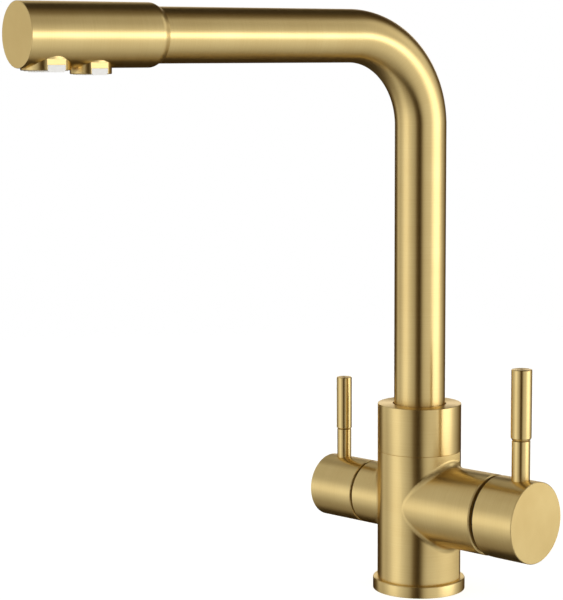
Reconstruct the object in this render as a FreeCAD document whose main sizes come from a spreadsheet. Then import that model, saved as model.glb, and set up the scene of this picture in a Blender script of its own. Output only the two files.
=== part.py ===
import FreeCAD, Part
import math
import os
import re
import Sketcher

# Three way filtered water tap, in millimetres, +Z up.
# The origin is on the column's axis at the bottom of the base ring, where the tap meets the worktop.
# The mixer (hot and cold) handle is on +X, the filtered water handle on -X.
# The spout points to -Y, and rests swivelled towards -X by spout_turn.

doc = FreeCAD.newDocument("filtered_water_tap")

# ---------------------------------------------------------------------------------------------
# Driving sizes
# ---------------------------------------------------------------------------------------------

SIZES = [
    # column, from the worktop up
    ("ring_lip", 1.4),
    ("base_ring_height", 6.5),
    ("base_ring_edge", 0.8),
    ("foot_dia", 40.0),
    ("foot_depth", 4.0),
    ("gasket_outer_dia", 48.0),
    ("gasket_inner_dia", 43.0),
    ("gasket_thickness", 1.5),
    ("seam_level", 78.0),
    ("seam_gap", 0.25),
    ("seam_edge", 0.2),
    ("collar_top", 104.0),
    ("collar_edge", 0.3),
    ("fitting_gap", 0.1),
    ("running_gap", 0.05),
    # swivel bearing inside the column
    ("column_wall", 3.0),
    ("recess_depth", 7.0),
    ("socket_dia", 22.0),
    ("socket_floor", 59.0),
    ("well_dia", 10.1),
    ("well_floor", 44.0),
    ("washer_thickness", 1.0),
    ("flange_dia", 32.8),
    ("flange_thickness", 3.0),
    ("flange_side_gap", 0.3),
    ("slide_ring_dia", 33.2),
    ("slide_ring_height", 5.0),
    ("slide_ring_cover", 2.0),
    # branches of the casting; the column is wider than its larger branch by the inset on each side
    ("branch_inset", 1.0),
    ("branch_level", 49.0),
    ("branch_blend", 4.0),
    ("mixer_branch_dia", 44.0),
    ("mixer_branch_end", 52.2),
    ("mixer_rim_edge", 0.6),
    ("filter_branch_dia", 35.0),
    ("filter_branch_end", 34.7),
    ("filter_rim_edge", 0.3),
    # inlets and stud hole in the underside, waterways
    ("stud_hole_dia", 8.0),
    ("stud_hole_depth", 14.0),
    ("inlet_dia", 10.0),
    ("inlet_depth", 12.0),
    ("inlet_forward", 8.0),
    ("inlet_spread", 8.5),
    ("filter_inlet_back", 10.8),
    ("filter_inlet_side", 2.0),
    ("waterway_dia", 6.0),
    ("filter_way_dia", 5.0),
    ("filter_out_dia", 3.2),
    ("filter_out_side", 9.7),
    ("filter_out_slant", 19.3),
    ("filter_out_length", 20.0),
    ("mixed_way_slant", 30.0),
    ("mixed_way_length", 12.0),
    # mixing cartridge
    ("cartridge_floor", 15.0),
    ("cartridge_dia", 34.8),
    ("cartridge_gap", 0.2),
    ("port_dia", 5.0),
    ("port_spread", 7.0),
    ("port_drop", 5.0),
    ("port_rise", 8.0),
    ("port_seal_dia", 8.0),
    ("port_seal_thickness", 1.0),
    ("cartridge_base_thickness", 4.0),
    ("disc_thickness", 3.0),
    ("fixed_disc_dia", 30.0),
    ("moving_disc_dia", 21.0),
    ("mixing_hollow_dia", 15.0),
    ("mixing_hollow_depth", 1.4),
    ("driver_dia", 20.0),
    ("driver_thickness", 4.0),
    ("driver_slot_width", 3.8),
    ("driver_slot_height", 6.0),
    ("cartridge_length", 20.0),
    ("cartridge_wall", 1.8),
    ("cartridge_lid", 2.0),
    ("rotor_gap", 0.3),
    ("neck_dia", 18.6),
    ("neck_end", 44.0),
    ("rotor_slot_width", 6.4),
    ("rotor_slot_height", 13.6),
    ("nut_dia", 37.8),
    ("nut_bore", 27.0),
    ("nut_thickness", 6.0),
    ("nut_notch_width", 4.0),
    ("nut_notch_depth", 2.0),
    ("pivot_reach", 37.0),
    ("pivot_pin_dia", 2.5),
    ("pivot_pin_length", 17.0),
    # mixer handle
    ("mixer_gap", 2.5),
    ("mixer_cap_length", 25.7),
    ("cap_edge", 0.35),
    ("mixer_cap_wall", 0.8),
    ("mixer_cavity_dia", 38.0),
    ("mixer_cavity_taper", 3.3),
    ("mixer_cavity_depth", 6.3),
    ("spindle_width", 6.0),
    ("spindle_square", 8.0),
    ("spindle_square_start", 46.8),
    ("spindle_end", 71.5),
    ("spindle_block_start", 32.0),
    ("spindle_tip_start", 27.2),
    ("spindle_tip_dia", 3.2),
    ("scoop_length", 8.6),
    ("scoop_slope", 18.0),
    ("mixer_lever_reach", 70.0),
    ("mixer_rod_dia", 9.8),
    ("mixer_grip_dia", 11.0),
    ("mixer_grip_start", 43.0),
    ("mixer_lever_top", 81.0),
    ("mixer_stud_dia", 6.0),
    ("lever_seat_depth", 1.0),
    ("lever_stud_length", 9.0),
    ("lever_tenon_length", 16.0),
    ("lever_line_gap", 0.25),
    ("grip_chamfer", 1.3),
    ("grip_round", 0.4),
    ("grub_screw_dia", 5.0),
    ("grub_screw_length", 10.0),
    ("grub_screw_reach", 65.0),
    ("hex_key_width", 2.5),
    ("hex_key_depth", 3.0),
    # filtered water valve and handle, measured from the column's axis towards -X
    ("valve_floor", 14.0),
    ("valve_bore", 18.0),
    ("valve_thread_dia", 20.0),
    ("valve_thread_start", 30.0),
    ("valve_shell_dia", 16.0),
    ("valve_shell_bore", 13.2),
    ("valve_shell_end", 24.0),
    ("valve_end", 40.5),
    ("valve_window_dia", 4.6),
    ("valve_seal_groove", 26.0),
    ("valve_seal_section", 1.8),
    ("seat_seal_inner", 10.8),
    ("seat_seal_thickness", 1.0),
    ("valve_disc_dia", 12.8),
    ("valve_disc_thickness", 2.5),
    ("valve_disc_hole", 3.4),
    ("valve_disc_spread", 3.6),
    ("valve_spindle_dia", 8.0),
    ("valve_dog_end", 22.5),
    ("valve_square_start", 44.0),
    ("valve_square_end", 55.0),
    ("valve_square", 5.6),
    ("spindle_seal_groove", 33.0),
    ("clip_groove", 41.0),
    ("clip_groove_depth", 0.6),
    ("clip_thickness", 0.8),
    ("clip_dia", 12.0),
    ("filter_gap", 1.4),
    ("filter_cap_length", 30.1),
    ("filter_cavity_dia", 25.0),
    ("filter_cavity_depth", 13.9),
    ("filter_lever_reach", 56.0),
    ("filter_rod_dia", 8.0),
    ("filter_grip_dia", 8.6),
    ("filter_grip_start", 33.5),
    ("filter_lever_top", 63.4),
    ("filter_stud_dia", 5.0),
    ("filter_grip_chamfer", 0.5),
    ("filter_screw_dia", 4.0),
    ("filter_screw_reach", 51.0),
    ("filter_screw_length", 8.0),
    # spout
    ("spout_turn", 12.0),
    ("spout_level", 304.5),
    ("bend_radius", 48.0),
    ("tube_dia", 28.0),
    ("tube_wall", 1.2),
    ("tube_gap", 0.65),
    ("spigot_bottom", 64.0),
    ("spigot_boss_top", 84.0),
    ("nose_bottom", 52.6),
    ("nose_groove", 54.4),
    ("spigot_groove", 65.2),
    ("spigot_groove_step", 3.2),
    ("seal_groove_height", 2.0),
    ("seal_groove_depth", 1.4),
    ("seal_section", 1.36),
    ("seal_gap", 0.02),
    ("nozzle_bore", 4.8),
    ("barb_dia", 6.8),
    ("barb_length", 10.0),
    ("flow_hole_dia", 3.6),
    ("flow_hole_circle", 14.0),
    ("filter_tube_dia", 9.0),
    ("filter_tube_bore", 7.0),
    ("filter_tube_reach", 196.7),
    # outlet head, measured along the spout from the column's axis
    ("head_dia", 32.0),
    ("head_start", 165.5),
    ("head_end", 241.5),
    ("head_edge", 0.25),
    ("head_socket_depth", 8.0),
    ("head_bore", 17.0),
    ("head_end_wall", 4.0),
    ("shoulder_length", 3.6),
    ("shoulder_round", 5.0),
    ("mixed_outlet_reach", 226.5),
    ("mixed_outlet_dia", 24.5),
    ("mixed_outlet_seat", 10.2),
    ("mixed_outlet_rim", 17.0),
    ("mixed_outlet_flats", 22.4),
    ("mixed_thread_dia", 20.4),
    ("mixed_thread_top", 5.0),
    ("mixed_insert_dia", 21.0),
    ("mixed_throat_dia", 17.2),
    ("mixed_insert_seat", 12.0),
    ("mixed_insert_proud", 0.3),
    ("mixed_lug_drop", 17.8),
    ("mixed_lug_top", 14.4),
    ("mixed_lug_width", 9.4),
    ("filter_outlet_reach", 202.2),
    ("filter_outlet_dia", 20.4),
    ("filter_outlet_seat", 12.2),
    ("filter_outlet_rim", 18.9),
    ("filter_outlet_flats", 18.1),
    ("filter_thread_dia", 15.8),
    ("filter_thread_top", 8.0),
    ("filter_insert_dia", 17.2),
    ("filter_throat_dia", 10.2),
    ("filter_insert_seat", 14.0),
    ("filter_insert_proud", 0.2),
    ("filter_lug_drop", 19.35),
    ("filter_lug_top", 16.2),
    ("filter_lug_width", 8.8),
    ("lug_gap", 0.1),
    ("lug_chamfer", 1.0),
    ("flats_top_mixed", 11.5),
    ("flats_top_filter", 13.2),
    ("outlet_edge", 0.35),
    ("outlet_seal_thickness", 1.0),
    ("screen_thickness", 0.4),
    ("nozzle_hole_dia", 2.4),
    ("nozzle_hole_circle", 11.0),
    ("elbow_dia", 12.6),
    ("elbow_start", 190.7),
    ("elbow_end", 208.7),
    ("elbow_socket_depth", 6.0),
    ("elbow_leg_dia", 10.0),
    ("elbow_leg_drop", 10.5),
    ("elbow_bore", 6.0),
]

sizes = doc.addObject("Spreadsheet::Sheet", "sizes")
for row, (alias, value) in enumerate(SIZES, start=1):
    sizes.set(f"A{row}", alias)
    sizes.set(f"B{row}", str(value))
    sizes.setAlias(f"B{row}", alias)
doc.recompute()

ALIASES = {alias for alias, value in SIZES}
FULL_TURN = 360.0
QUARTER_TURN = 90.0
HALF_TURN = 180.0
HEXAGON_SIDES = 6
CORNER_GUESS = 10.0      # where a sketch's corners lie before its dimensions pull them into place
SAME_EDGE = 0.001        # an edge is the one looked for when it lies this near to its place


# ---------------------------------------------------------------------------------------------
# Ways of making a piece
# ---------------------------------------------------------------------------------------------

def in_sheet(formula):
    """The formula with each size's name pointing at its cell."""
    return re.sub(r"[a-z]\w+", lambda word: "sizes." + word[0] if word[0] in ALIASES else word[0], formula)


def bind(item, sizes_of_item):
    """Ties each named property of a document object to a formula of the sizes."""
    for name, formula in sizes_of_item.items():
        item.setExpression(name, in_sheet(formula))


def origin_item(body, role):
    """One of a body's own origin planes or axes, found by its role."""
    return [item for item in body.Origin.OriginFeatures if item.Role == role][0]


def seat(body, place):
    """Puts a body on its axis: the column, the mixer or filter branch, or the swivelled spout."""
    if place in ("mixer", "filter"):
        bind(body, {"Placement.Base.z": "branch_level"})
    if place == "filter":
        body.Placement.Rotation = FreeCAD.Rotation(FreeCAD.Vector(0, 0, 1), HALF_TURN)
    if place in ("spout", "swivel"):
        body.Placement.Rotation = FreeCAD.Rotation(FreeCAD.Vector(0, 0, -1), QUARTER_TURN)
        bind(body, {"Placement.Rotation.Angle": "(90 + spout_turn) * 1 deg"})
    if place == "spout":
        bind(body, {"Placement.Base.z": "spout_level"})


def new_body(label, place="column"):
    """An empty body, seated on its axis."""
    body = doc.addObject("PartDesign::Body", label)
    body.Label = label
    seat(body, place)
    return body


def place_point(sketch, corner, direction, formula):
    """Fixes one coordinate of a sketch line's start, measured from the sketch's origin."""
    if formula == "0":
        axis = -2 if direction == "DistanceX" else -1
        sketch.addConstraint(Sketcher.Constraint("PointOnObject", corner, 1, axis))
        return
    start = sketch.getPoint(corner, 1)
    here = start.x if direction == "DistanceX" else start.y
    number = sketch.addConstraint(Sketcher.Constraint(direction, -1, 1, corner, 1, here))
    sketch.setExpression(f"Constraints[{number}]", in_sheet(formula))


def outline(body, name, corners, plane="XZ_Plane", across=None, up=None):
    """A closed sketch of straight lines; each corner is a pair of formulas, across and up."""
    sketch = body.newObject("Sketcher::SketchObject", name)
    sketch.AttachmentSupport = (origin_item(body, plane), [""])
    sketch.MapMode = "FlatFace"
    if across:
        bind(sketch, {"AttachmentOffset.Base.x": across})
    if up:
        bind(sketch, {"AttachmentOffset.Base.y": up})
    count = len(corners)
    angles = [FULL_TURN * n / count for n in range(count)]
    guesses = [
        FreeCAD.Vector(
            CORNER_GUESS * (2 + math.cos(math.radians(angle))),
            CORNER_GUESS * (2 + math.sin(math.radians(angle))),
            0,
        )
        for angle in angles
    ]
    for n in range(count):
        sketch.addGeometry(Part.LineSegment(guesses[n], guesses[(n + 1) % count]), False)
    for n in range(count):
        sketch.addConstraint(Sketcher.Constraint("Coincident", n, 2, (n + 1) % count, 1))
    for n, (x, y) in enumerate(corners):
        place_point(sketch, n, "DistanceX", x)
        place_point(sketch, n, "DistanceY", y)
    return sketch


def revolve(body, kind, name, sketch, axis):
    """Turns a sketch a full circle about one of its own axes."""
    feature = body.newObject(kind, name)
    feature.Profile = sketch
    feature.ReferenceAxis = (sketch, [axis])
    feature.Angle = FULL_TURN
    sketch.Visibility = False
    return feature


def pad_across(body, name, sketch, width):
    """Fills a sketch out by half the width to each side of its plane."""
    pad = body.newObject("PartDesign::Pad", name)
    pad.Profile = sketch
    pad.SideType = "Symmetric"
    bind(pad, {"Length": width})
    sketch.Visibility = False
    return pad


def turned_upright(label, corners, place="column", across=None):
    """A piece turned about an upright axis; corners are pairs of radius and level."""
    body = new_body(label, place)
    sketch = outline(body, label + "_profile", corners, across=across)
    revolve(body, "PartDesign::Revolution", label + "_turned", sketch, "V_Axis")
    return body


def turned_level(label, corners, place):
    """A piece turned about its branch's or spout's axis; corners are pairs of reach and radius."""
    body = new_body(label, place)
    sketch = outline(body, label + "_profile", corners)
    revolve(body, "PartDesign::Revolution", label + "_turned", sketch, "H_Axis")
    return body


AIM = {
    "+Z": FreeCAD.Rotation(),
    "-Z": FreeCAD.Rotation(FreeCAD.Vector(1, 0, 0), HALF_TURN),
    "+X": FreeCAD.Rotation(FreeCAD.Vector(0, 1, 0), QUARTER_TURN),
    "-X": FreeCAD.Rotation(FreeCAD.Vector(0, 1, 0), -QUARTER_TURN),
    "+Y": FreeCAD.Rotation(FreeCAD.Vector(1, 0, 0), -QUARTER_TURN),
}


def round_tool(body, kind, name, dia, length, start, aim):
    """A cylinder added to or cut from a body, from a start point along an aim."""
    tool = body.newObject(kind, name)
    tool.AttachmentSupport = (origin_item(body, "XY_Plane"), [""])
    tool.MapMode = "FlatFace"
    tool.AttachmentOffset = FreeCAD.Placement(FreeCAD.Vector(), AIM[aim])
    x, y, z = start
    bind(tool, {
        "Radius": f"({dia}) / 2",
        "Height": length,
        "AttachmentOffset.Base.x": x,
        "AttachmentOffset.Base.y": y,
        "AttachmentOffset.Base.z": z,
    })
    return tool


def drill(body, name, dia, length, start, aim):
    """A round hole."""
    return round_tool(body, "PartDesign::SubtractiveCylinder", name, dia, length, start, aim)


def block_tool(body, kind, name, low, span):
    """A block added to or cut from a body, from its lowest corner."""
    tool = body.newObject(kind, name)
    tool.AttachmentSupport = (origin_item(body, "XY_Plane"), [""])
    tool.MapMode = "FlatFace"
    bind(tool, {
        "Length": span[0],
        "Width": span[1],
        "Height": span[2],
        "AttachmentOffset.Base.x": low[0],
        "AttachmentOffset.Base.y": low[1],
        "AttachmentOffset.Base.z": low[2],
    })
    return tool


def mill(body, name, low, span):
    """A straight-sided slot or flat."""
    return block_tool(body, "PartDesign::SubtractiveBox", name, low, span)


def circles_at(shape, reach, radius, along):
    """Names of the round edges of a given radius whose centre is at a given reach."""
    names = []
    for number, edge in enumerate(shape.Edges, start=1):
        if not isinstance(edge.Curve, Part.Circle):
            continue
        off_reach = abs(getattr(edge.Curve.Center, along) - reach)
        off_radius = abs(edge.Curve.Radius - radius)
        if max(off_reach, off_radius) < SAME_EDGE:
            names.append(f"Edge{number}")
    return names


def round_rim(body, name, size, reach, radius, along, kind="PartDesign::Fillet"):
    """Rounds or bevels the circle at a reach along the body's axis."""
    doc.recompute()
    base = body.Tip
    edges = circles_at(base.Shape, reach, radius, along)
    feature = body.newObject(kind, name)
    feature.Base = (base, edges)
    bind(feature, {"Radius" if kind.endswith("Fillet") else "Size": size})
    return feature


def size_of(alias):
    """The present value of a size."""
    return sizes.get(alias)


def seal_ring(name, middle_radius, section, level, along="Z"):
    """An O-ring, lying level or standing square to the X axis."""
    ring = doc.addObject("Part::Torus", name)
    bind(ring, {"Radius1": middle_radius, "Radius2": f"({section}) / 2"})
    if along == "Z":
        bind(ring, {"Placement.Base.z": level})
        return ring
    ring.Placement.Rotation = AIM["+X"]
    bind(ring, {"Placement.Base.x": level, "Placement.Base.z": "branch_level"})
    return ring


# ---------------------------------------------------------------------------------------------
# Base: gasket and ring
# ---------------------------------------------------------------------------------------------

foot_r = "foot_dia / 2"
column_r = "mixer_branch_dia / 2 + branch_inset"
recess_r = "mixer_branch_dia / 2 + branch_inset - column_wall"
ring_r = "gasket_outer_dia / 2 + fitting_gap + ring_lip"

base_gasket = turned_upright("base_gasket", [
    ("gasket_inner_dia / 2", "0"),
    ("gasket_outer_dia / 2", "0"),
    ("gasket_outer_dia / 2", "gasket_thickness"),
    ("gasket_inner_dia / 2", "gasket_thickness"),
])

# The ring is grooved underneath for the gasket and bored for the casting's foot.
base_ring = turned_upright("base_ring", [
    ("foot_dia / 2 + fitting_gap", "0"),
    ("gasket_inner_dia / 2 - fitting_gap", "0"),
    ("gasket_inner_dia / 2 - fitting_gap", "gasket_thickness"),
    ("gasket_outer_dia / 2 + fitting_gap", "gasket_thickness"),
    ("gasket_outer_dia / 2 + fitting_gap", "0"),
    (ring_r, "0"),
    (ring_r, "base_ring_height - base_ring_edge"),
    (ring_r + " - base_ring_edge", "base_ring_height"),
    ("foot_dia / 2 + fitting_gap", "base_ring_height"),
])

# ---------------------------------------------------------------------------------------------
# Body casting: column with its two branches, bored for the swivel, cartridge and valve
# ---------------------------------------------------------------------------------------------

foot_bottom = "base_ring_height - foot_depth"
recess_floor = "seam_level - recess_depth"

body_casting = turned_upright("body_casting", [
    ("0", foot_bottom),
    (foot_r, foot_bottom),
    (foot_r, "base_ring_height"),
    (column_r, "base_ring_height"),
    (column_r, "seam_level - seam_edge"),
    (column_r + " - seam_edge", "seam_level"),
    ("0", "seam_level"),
])
round_tool(body_casting, "PartDesign::AdditiveCylinder", "mixer_branch",
           "mixer_branch_dia", "mixer_branch_end", ("0", "0", "branch_level"), "+X")
round_tool(body_casting, "PartDesign::AdditiveCylinder", "filter_branch",
           "filter_branch_dia", "filter_branch_end", ("0", "0", "branch_level"), "-X")


def branch_joints(shape):
    """Names of the curved edges where the branches meet the column."""
    names = []
    for number, edge in enumerate(shape.Edges, start=1):
        if isinstance(edge.Curve, (Part.Circle, Part.Line)):
            continue
        names.append(f"Edge{number}")
    return names


doc.recompute()
blend_base = body_casting.Tip
blend = body_casting.newObject("PartDesign::Fillet", "branch_blends")
blend.Base = (blend_base, branch_joints(blend_base.Shape))
bind(blend, {"Radius": "branch_blend"})
round_rim(body_casting, "mixer_rim", "mixer_rim_edge", size_of("mixer_branch_end"),
          size_of("mixer_branch_dia") / 2, "x", "PartDesign::Chamfer")
round_rim(body_casting, "filter_rim", "filter_rim_edge", -size_of("filter_branch_end"),
          size_of("filter_branch_dia") / 2, "x", "PartDesign::Chamfer")

swivel_bore = outline(body_casting, "swivel_bore_profile", [
    ("0", "well_floor"),
    ("well_dia / 2", "well_floor"),
    ("well_dia / 2", "socket_floor"),
    ("socket_dia / 2", "socket_floor"),
    ("socket_dia / 2", recess_floor),
    (recess_r, recess_floor),
    (recess_r, "seam_level + seam_gap"),
    ("0", "seam_level + seam_gap"),
])
revolve(body_casting, "PartDesign::Groove", "swivel_bore", swivel_bore, "V_Axis")

cartridge_end = "cartridge_floor + port_seal_thickness + cartridge_base_thickness + cartridge_length"
cartridge_bore = outline(body_casting, "cartridge_bore_profile", [
    ("cartridge_floor", "0"),
    ("cartridge_floor", "cartridge_dia / 2 + cartridge_gap"),
    (cartridge_end + " - cartridge_gap", "cartridge_dia / 2 + cartridge_gap"),
    (cartridge_end + " - cartridge_gap", "nut_dia / 2 + cartridge_gap"),
    ("mixer_branch_end + seam_gap", "nut_dia / 2 + cartridge_gap"),
    ("mixer_branch_end + seam_gap", "0"),
], up="branch_level")
revolve(body_casting, "PartDesign::Groove", "cartridge_bore", cartridge_bore, "H_Axis")

valve_bore = outline(body_casting, "valve_bore_profile", [
    ("-valve_floor", "0"),
    ("-valve_floor", "valve_bore / 2"),
    ("-valve_thread_start", "valve_bore / 2"),
    ("-valve_thread_start", "valve_thread_dia / 2"),
    ("-filter_branch_end - seam_gap", "valve_thread_dia / 2"),
    ("-filter_branch_end - seam_gap", "0"),
], up="branch_level")
revolve(body_casting, "PartDesign::Groove", "valve_bore", valve_bore, "H_Axis")

# Threaded holes in the underside: the fixing stud, and the hot, cold and filtered inlets.
drill(body_casting, "stud_hole", "stud_hole_dia", "stud_hole_depth", ("0", "0", foot_bottom), "+Z")
port_level = "branch_level - port_drop"
for side, sign in (("hot", "-"), ("cold", "")):
    spread = f"{sign}inlet_spread"
    drill(body_casting, f"{side}_inlet", "inlet_dia", "inlet_depth",
          ("inlet_forward", spread, foot_bottom), "+Z")
    drill(body_casting, f"{side}_rise", "waterway_dia", f"{port_level} - base_ring_height + foot_depth",
          ("inlet_forward", spread, foot_bottom), "+Z")
    drill(body_casting, f"{side}_port", "port_dia", "cartridge_floor - inlet_forward",
          ("inlet_forward", f"{sign}port_spread", port_level), "+X")
drill(body_casting, "filtered_inlet", "inlet_dia", "inlet_depth",
      ("-filter_inlet_back", "-filter_inlet_side", foot_bottom), "+Z")
drill(body_casting, "filtered_rise", "filter_way_dia",
      "branch_level + filter_way_dia / 2 - base_ring_height + foot_depth",
      ("-filter_inlet_back", "-filter_inlet_side", foot_bottom), "+Z")
drill(body_casting, "filtered_port", "valve_disc_hole",
      "valve_floor - filter_inlet_back + filter_way_dia / 4",
      ("-valve_floor", "0", "branch_level"), "+X")

# Mixed water goes up on a slant to the swivel socket; filtered water goes level to the well,
# past the seat, from the space round the valve's shell.
AIM["to_socket"] = FreeCAD.Rotation(FreeCAD.Vector(0, 1, 0), size_of("mixed_way_slant") - QUARTER_TURN)
AIM["to_well"] = FreeCAD.Rotation(FreeCAD.Vector(0, 0, 1), -size_of("filter_out_slant")).multiply(AIM["+X"])
drill(body_casting, "mixed_way", "port_dia", "mixed_way_length", (
    "cartridge_floor + waterway_dia / 2 * cos(mixed_way_slant * 1 deg)",
    "0",
    "branch_level + port_rise - waterway_dia / 2 * sin(mixed_way_slant * 1 deg)",
), "to_socket")
drill(body_casting, "filtered_way", "filter_out_dia", "filter_out_length",
      ("-valve_floor - filter_out_dia", "filter_out_side", "branch_level"), "to_well")

# ---------------------------------------------------------------------------------------------
# Collar and swivel bearing
# ---------------------------------------------------------------------------------------------

flange_bottom = "seam_level - recess_depth + washer_thickness + running_gap"
flange_top = "seam_level - recess_depth + washer_thickness + running_gap + flange_thickness"
collar_shoulder = flange_top + " + washer_thickness + 2 * running_gap"
collar_foot = "seam_level - recess_depth + seam_gap"
ring_top = "collar_top - slide_ring_cover"
ring_bottom = "collar_top - slide_ring_cover - slide_ring_height"

collar_sleeve = turned_upright("collar_sleeve", [
    (recess_r + " - fitting_gap", collar_foot),
    (recess_r + " - fitting_gap", "seam_level + seam_gap"),
    (column_r + " - seam_edge", "seam_level + seam_gap"),
    (column_r, "seam_level + seam_gap + seam_edge"),
    (column_r, "collar_top - collar_edge"),
    (column_r + " - collar_edge", "collar_top"),
    ("tube_dia / 2 + tube_gap", "collar_top"),
    ("tube_dia / 2 + tube_gap", ring_top),
    ("slide_ring_dia / 2", ring_top),
    ("slide_ring_dia / 2", ring_bottom),
    ("tube_dia / 2 + tube_gap", ring_bottom),
    ("tube_dia / 2 + tube_gap", collar_shoulder),
    ("flange_dia / 2 + flange_side_gap", collar_shoulder),
    ("flange_dia / 2 + flange_side_gap", collar_foot),
])

slide_ring = turned_upright("slide_ring", [
    ("tube_dia / 2 + running_gap", ring_bottom),
    ("slide_ring_dia / 2 - running_gap", ring_bottom),
    ("slide_ring_dia / 2 - running_gap", ring_top),
    ("tube_dia / 2 + running_gap", ring_top),
])

lower_thrust_washer = turned_upright("lower_thrust_washer", [
    ("socket_dia / 2 + flange_side_gap", recess_floor),
    ("flange_dia / 2", recess_floor),
    ("flange_dia / 2", "seam_level - recess_depth + washer_thickness"),
    ("socket_dia / 2 + flange_side_gap", "seam_level - recess_depth + washer_thickness"),
])

upper_thrust_washer = turned_upright("upper_thrust_washer", [
    ("tube_dia / 2 + flange_side_gap", flange_top + " + 2 * running_gap"),
    ("flange_dia / 2", flange_top + " + 2 * running_gap"),
    ("flange_dia / 2", collar_shoulder),
    ("tube_dia / 2 + flange_side_gap", collar_shoulder),
])

# ---------------------------------------------------------------------------------------------
# Spout: swivel spigot, its seals, the tube and the filtered water tube inside it
# ---------------------------------------------------------------------------------------------

spigot_r = "socket_dia / 2 - running_gap"
spigot_groove_r = "socket_dia / 2 - running_gap - seal_groove_depth"
nose_r = "well_dia / 2 - running_gap"
nose_groove_r = "well_dia / 2 - running_gap - seal_groove_depth"
second_groove = "spigot_groove + spigot_groove_step"

spout_spigot = turned_upright("spout_spigot", [
    ("nozzle_bore / 2", "nose_bottom"),
    (nose_r, "nose_bottom"),
    (nose_r, "nose_groove"),
    (nose_groove_r, "nose_groove"),
    (nose_groove_r, "nose_groove + seal_groove_height"),
    (nose_r, "nose_groove + seal_groove_height"),
    (nose_r, "spigot_bottom"),
    (spigot_r, "spigot_bottom"),
    (spigot_r, "spigot_groove"),
    (spigot_groove_r, "spigot_groove"),
    (spigot_groove_r, "spigot_groove + seal_groove_height"),
    (spigot_r, "spigot_groove + seal_groove_height"),
    (spigot_r, second_groove),
    (spigot_groove_r, second_groove),
    (spigot_groove_r, second_groove + " + seal_groove_height"),
    (spigot_r, second_groove + " + seal_groove_height"),
    (spigot_r, flange_bottom),
    ("flange_dia / 2", flange_bottom),
    ("flange_dia / 2", flange_top),
    ("tube_dia / 2 - tube_wall - fitting_gap", flange_top),
    ("tube_dia / 2 - tube_wall - fitting_gap", "spigot_boss_top"),
    ("barb_dia / 2", "spigot_boss_top"),
    ("barb_dia / 2", "spigot_boss_top + barb_length"),
    ("nozzle_bore / 2", "spigot_boss_top + barb_length"),
], place="swivel")
FLOW_HOLES = 6
for number in range(FLOW_HOLES):
    angle = f"{FULL_TURN / FLOW_HOLES * number:g} deg"
    drill(spout_spigot, f"flow_hole_{number + 1}", "flow_hole_dia", "spigot_boss_top - spigot_bottom", (
        f"flow_hole_circle / 2 * cos({angle})",
        f"flow_hole_circle / 2 * sin({angle})",
        "spigot_bottom",
    ), "+Z")

seal_step = "seal_gap + seal_section / 2"
spigot_rings = [
    seal_ring(f"spigot_seal_{number + 1}", f"{spigot_groove_r} + {seal_step}", "seal_section",
              f"spigot_groove + {number} * spigot_groove_step + seal_groove_height / 2")
    for number in range(2)
]
spigot_seals = doc.addObject("Part::Compound", "spigot_seals")
spigot_seals.Links = spigot_rings
nozzle_seal = seal_ring("nozzle_seal", f"{nose_groove_r} + {seal_step}", "seal_section",
                        "nose_groove + seal_groove_height / 2")


def bent_tube(label, outer, inner, foot, reach):
    """A tube that rises on the column's axis, bends once and runs level to a reach."""
    body = new_body(label, "swivel")
    start = FreeCAD.Vector(0, size_of("spigot_boss_top"), 0)
    bend = size_of("bend_radius")
    level = size_of("spout_level")
    middle = FreeCAD.Vector(bend * (1 - math.sqrt(0.5)), level - bend * (1 - math.sqrt(0.5)), 0)
    riser_end = FreeCAD.Vector(0, level - bend, 0)
    arm_start = FreeCAD.Vector(bend, level, 0)
    arm_end = FreeCAD.Vector(4 * bend, level, 0)
    path = body.newObject("Sketcher::SketchObject", label + "_path")
    path.AttachmentSupport = (origin_item(body, "XZ_Plane"), [""])
    path.MapMode = "FlatFace"
    path.addGeometry(Part.LineSegment(start, riser_end), False)
    path.addGeometry(Part.Arc(riser_end, middle, arm_start), False)
    path.addGeometry(Part.LineSegment(arm_start, arm_end), False)
    first_meets = 1 if path.getPoint(1, 1).distanceToPoint(riser_end) < 1 else 2
    path.addConstraint(Sketcher.Constraint("PointOnObject", 0, 1, -2))
    path.addConstraint(Sketcher.Constraint("Tangent", 0, 2, 1, first_meets))
    path.addConstraint(Sketcher.Constraint("Tangent", 1, 3 - first_meets, 2, 1))
    path.addConstraint(Sketcher.Constraint("Vertical", 0))
    path.addConstraint(Sketcher.Constraint("Horizontal", 2))
    for kind, item, point, formula in (
        ("DistanceY", 0, 1, foot),
        ("DistanceX", 2, 2, reach),
        ("DistanceY", 2, 2, "spout_level"),
    ):
        spot = path.getPoint(item, point)
        here = spot.x if kind == "DistanceX" else spot.y
        number = path.addConstraint(Sketcher.Constraint(kind, -1, 1, item, point, here))
        path.setExpression(f"Constraints[{number}]", in_sheet(formula))
    number = path.addConstraint(Sketcher.Constraint("Radius", 1, bend))
    path.setExpression(f"Constraints[{number}]", in_sheet("bend_radius"))

    section = body.newObject("Sketcher::SketchObject", label + "_section")
    section.AttachmentSupport = (origin_item(body, "XY_Plane"), [""])
    section.MapMode = "FlatFace"
    bind(section, {"AttachmentOffset.Base.z": foot})
    for number, dia in enumerate((outer, inner)):
        circle = Part.Circle(FreeCAD.Vector(), FreeCAD.Vector(0, 0, 1), CORNER_GUESS - number)
        section.addGeometry(circle, False)
        section.addConstraint(Sketcher.Constraint("Coincident", number, 3, -1, 1))
        place = section.addConstraint(Sketcher.Constraint("Diameter", number, 2 * (CORNER_GUESS - number)))
        section.setExpression(f"Constraints[{place}]", in_sheet(dia))
    pipe = body.newObject("PartDesign::AdditivePipe", label + "_pipe")
    pipe.Profile = section
    pipe.Spine = path
    return body


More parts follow.
